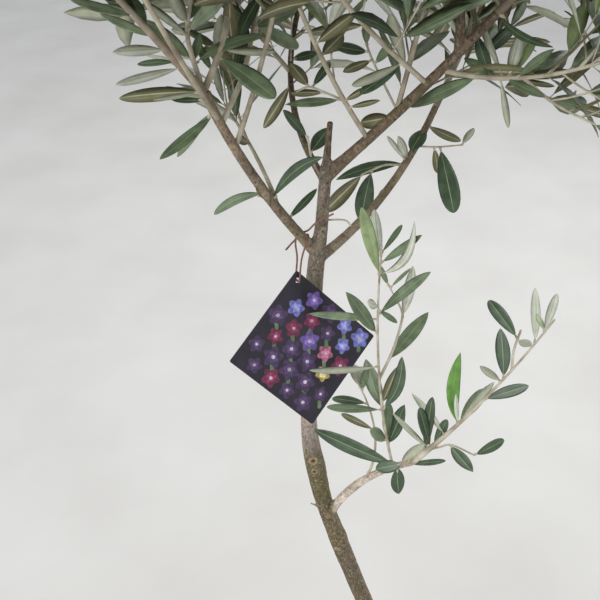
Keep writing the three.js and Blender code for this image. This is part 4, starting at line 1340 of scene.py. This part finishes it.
def rounded(profile):
    """The profile with its corners turned into short curves"""
    profile = [np.array(p, float) for p in profile]
    made = [profile[0]]
    for before, corner, after in zip(profile, profile[1:], profile[2:]):
        start, end = (corner + unit(other - corner) * min(
            POT["round"], np.linalg.norm(other - corner) / POT["round_part"]) for other in (before, after))
        for i in range(POT["round_steps"] + 1):
            t = i / POT["round_steps"]
            made.append((1 - t) ** 2 * start + 2 * t * (1 - t) * corner + t ** 2 * end)
    return made + [profile[-1]]


def fine_profile(profile, every):
    """The profile with long runs divided"""
    profile = [np.array(p, float) for p in profile]
    made = [profile[0]]
    for start, end in zip(profile, profile[1:]):
        count = max(1, int(np.linalg.norm(end - start) / every))
        made += [start + (end - start) * (i + 1) / count for i in range(count)]
    return made


def inner_radius(height):
    share = height / (POT["height"] - POT["band"])
    return POT["foot"] + (POT["shoulder"] - POT["foot"]) * share - POT["wall"]


def pot_piece():
    """The clay pot, with drain holes cut through its floor"""
    height, rim, floor = POT["height"], POT["rim"], POT["floor"]
    under_band = height - POT["band"]
    outer = [(0, 0), (POT["foot"], 0), (POT["shoulder"], under_band), (rim, under_band), (rim, height)]
    inner = [(inner_radius(height), height), (inner_radius(floor), floor), (0, floor)]
    profile = rounded(outer + inner)
    clay = speckled("terracotta", **LOOKS["terracotta"])
    pot = lathe("pot_clay", fine_profile(profile, POT["every"]), POT["sides"], [clay])
    cutters = Pile()
    for k in range(POT["drains"]):
        turn = 2 * math.pi * (k + 0.5) / POT["drains"]
        middle = POT["drain_ring"] * np.array([math.cos(turn), math.sin(turn), 0])
        line = np.array([middle + UP * h for h in (-floor, 0, 2 * floor)])
        cutters.add(*tube(line, np.full(3, POT["drain_radius"]), POT["drain_sides"]))
    cutter = cutters.make("drain_cutter", [])
    cut = pot.modifiers.new("drains", "BOOLEAN")
    cut.operation = "DIFFERENCE"
    cut.solver = "EXACT"
    cut.object = cutter
    applied(pot)
    bpy.data.objects.remove(cutter)
    return pot


def compost_piece():
    """Loose compost: an uneven body in the pot, with bark chips on it"""
    top = inner_radius(SOIL_TOP) - SOIL["wall_gap"]
    bottom = POT["floor"] + SOIL["floor_gap"]
    low, high = SOIL_TOP - SOIL["crown"], SOIL_TOP + SOIL["crown"]
    profile = [(0, bottom), (inner_radius(bottom) - SOIL["wall_gap"], bottom), (top, low),
               (top - SOIL["edge"], high), (0, high)]
    dark = speckled("compost", tone=COMPOST_TONE, **LOOKS["compost"])
    body = lathe("compost", fine_profile(profile, SOIL["every"]), SOIL["sides"], [dark])
    for vertex in body.data.vertices:
        if vertex.co.z > (SOIL_TOP - SOIL["skin"]) * MM:
            fine = SOIL["fine_share"] * noise.noise(vertex.co * SOIL["fine"])
            rough = noise.noise(vertex.co * SOIL["broad"]) + fine
            vertex.co.z += SOIL["rough"] * MM * rough - SOIL["sunk"] * MM
    draw = seeded(CHIPS["seed"])
    chips = Pile()
    for _ in range(CHIPS["count"]):
        out = top * math.sqrt(draw()) * CHIPS["within"]
        turn = 2 * math.pi * draw()
        size = CHIPS["least"] + (CHIPS["most"] - CHIPS["least"]) * draw() ** 2
        height = SOIL_TOP + CHIPS["above"] + draw() * CHIPS["above_vary"]
        middle = np.array([out * math.cos(turn), out * math.sin(turn), height])
        way = aim(360 * draw(), either_way(draw, CHIPS["tilt"]))
        line = np.array([middle - way * size, middle, middle + way * size])
        radii = np.array(CHIPS["radii"]) * size * (CHIPS["stout"] + CHIPS["stout_vary"] * draw())
        chips.add(*tube(line, radii, CHIPS["sides"]))
    pale = speckled("chip", tone=CHIP_TONE, **LOOKS["compost"])
    return body, chips.make("compost_chips", [pale], smooth=False)


pot = pot_piece()
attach(pot, "root")
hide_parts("pot")
compost, chips = compost_piece()
for piece in (compost, chips):
    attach(piece, "root")
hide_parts("soil")


# The wire and the card

def wire_piece():
    pile = Pile()
    for strand in STRANDS:
        steps = (len(strand) - 1) * WIRE["finer"]
        pile.add(*tube(catmull(strand, steps), np.full(steps + 1, WIRE["radius"]), WIRE["sides"]))
    return pile.make("tie_wire", [speckled("wire_paper", **LOOKS["wire_paper"])])


wire = wire_piece()
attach(wire, "root")
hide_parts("wire")

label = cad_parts["label"]
label.data.materials.clear()
label.data.materials.append(speckled("card_print", **LOOKS["card_print"]))


def lobed(shape, heading):
    """An outline with lobes, in the card's plane: a flower, a dot or a leaf"""
    turns = np.arange(PRINT["corners"]) * 2 * math.pi / PRINT["corners"]
    out = 1 + shape["depth"] * (np.cos(shape["lobes"] * turns) - 1) / 2
    return (shape["radius"] * out * np.cos(turns + heading),
            shape["radius"] * out * np.sin(turns + heading) * shape["narrow"])


def card_print():
    """Flowers with plain middles in even staggered rows, and small leaves between them"""
    draw = seeded(PRINT["seed"])
    axes = card_axes()
    corner = np.array(CARD["corner"], float)
    levels = (vertices_of(label.data) / MM - corner) @ axes[2]
    outward = 1 if axes[2] @ (EYE - corner) > 0 else -1
    face = levels.max() if outward > 0 else levels.min()
    lighter = {name + "_light": [min(255, c * PRINT["lighter"]) for c in tone]
               for name, tone in PRINT_TONES.items()}
    inks = {**PRINT_TONES, **lighter}
    names = list(inks)
    count = PRINT["corners"]
    vertices, tops, sides, tones = [], [], [], []

    def add(motif, down, across, heading, layer, tone, size=1.0):
        x, y = (size * values for values in lobed(MOTIFS[motif], heading))
        flat = corner + (down + x)[:, None] * axes[0] + (across + y)[:, None] * axes[1]
        low = 2 * count * len(tones) + np.arange(count)
        after = np.roll(low, -1)
        lift = face + outward * layer * PRINT["lift"]
        vertices.extend([flat + axes[2] * face, flat + axes[2] * lift])
        top, walls = low + count, np.column_stack([low, after, after + count, low + count])
        if outward < 0:
            low, top, walls = low[::-1], top[::-1], walls[:, ::-1]
        tops.extend([top, low[::-1]])
        sides.append(walls)
        tones.append(names.index(tone))

    rows, columns, edge = PRINT["rows"], PRINT["columns"], PRINT["edge"]
    step = (CARD["tall"] - 2 * edge) / (rows - 1)
    every = (CARD["wide"] - 2 * edge) / (columns - 1)
    for i in range(rows):
        down = edge + i * step
        for j in range(columns - i % 2):
            across = edge + (j + 0.5 * (i % 2)) * every
            if math.hypot(down - CARD["inset"], across - CARD["inset"]) < PRINT["hole_clear"]:
                continue
            tone = FLOWER_TONES[int(draw() * len(FLOWER_TONES))]
            size = 1 + either_way(draw, PRINT["size_vary"])
            heading = draw() * 2 * math.pi
            between = heading + math.pi / MOTIFS["flower"]["lobes"]
            add("flower", down, across, heading, 1, tone, size)
            add("flower", down, across, between, 2, tone + "_light", size * PRINT["inner"])
            add("middle", down, across, 0, 3, "pale", size)
            if draw() < PRINT["leaves"] and i < rows - 1:
                add("leaf", down + step / 2, across + every / 4, PRINT["leaf_lean"],
                    PRINT["leaf_layer"], "leaf")
    materials = [speckled(f"ink_{name}", tone=tone, **LOOKS["ink"]) for name, tone in inks.items()]
    indices = np.concatenate([np.repeat(tones, 2), np.repeat(tones, count)])
    faces = [np.array(tops), np.vstack(sides)]
    return make_object("card_print", np.vstack(vertices), faces, materials, indices, smooth=False)


printed = card_print()
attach(printed, "root")


# Floor, light and camera

def floor_piece():
    corners = np.array([(-1, -1, 0), (1, -1, 0), (1, 1, 0), (-1, 1, 0)]) * FLOOR_HALF
    return make_object("floor", corners, [np.arange(4)[None]], [speckled("floor", **LOOKS["floor"])])


floor_piece()

world = bpy.data.worlds.new("studio")
bpy.context.scene.world = world
world.use_nodes = True
background = world.node_tree.nodes["Background"]
background.inputs["Color"].default_value = SKY["colour"]
background.inputs["Strength"].default_value = SKY["strength"]


def area_light(name, place, target, size, power):
    data = bpy.data.lights.new(name, "AREA")
    data.size = size
    data.energy = power
    lamp = bpy.data.objects.new(name, data)
    lamp.location = place
    lamp.rotation_euler = (Vector(target) - Vector(place)).to_track_quat("-Z", "Y").to_euler()
    bpy.context.scene.collection.objects.link(lamp)


for name, light in LIGHTS.items():
    area_light(name, **light)

lens = bpy.data.cameras.new("camera")
lens.sensor_width = CAMERA["sensor"]
lens.lens = CAMERA["focal"] / CAMERA["side"] * CAMERA["sensor"]
lens.clip_start = CAMERA["nearest"]
camera = bpy.data.objects.new("camera", lens)
camera.location = CAMERA["place"]
camera.rotation_euler = (math.radians(90 - CAMERA["pitch"]), 0, 0)
bpy.context.scene.collection.objects.link(camera)
bpy.context.scene.camera = camera
bpy.context.scene.view_settings.view_transform = "Standard"
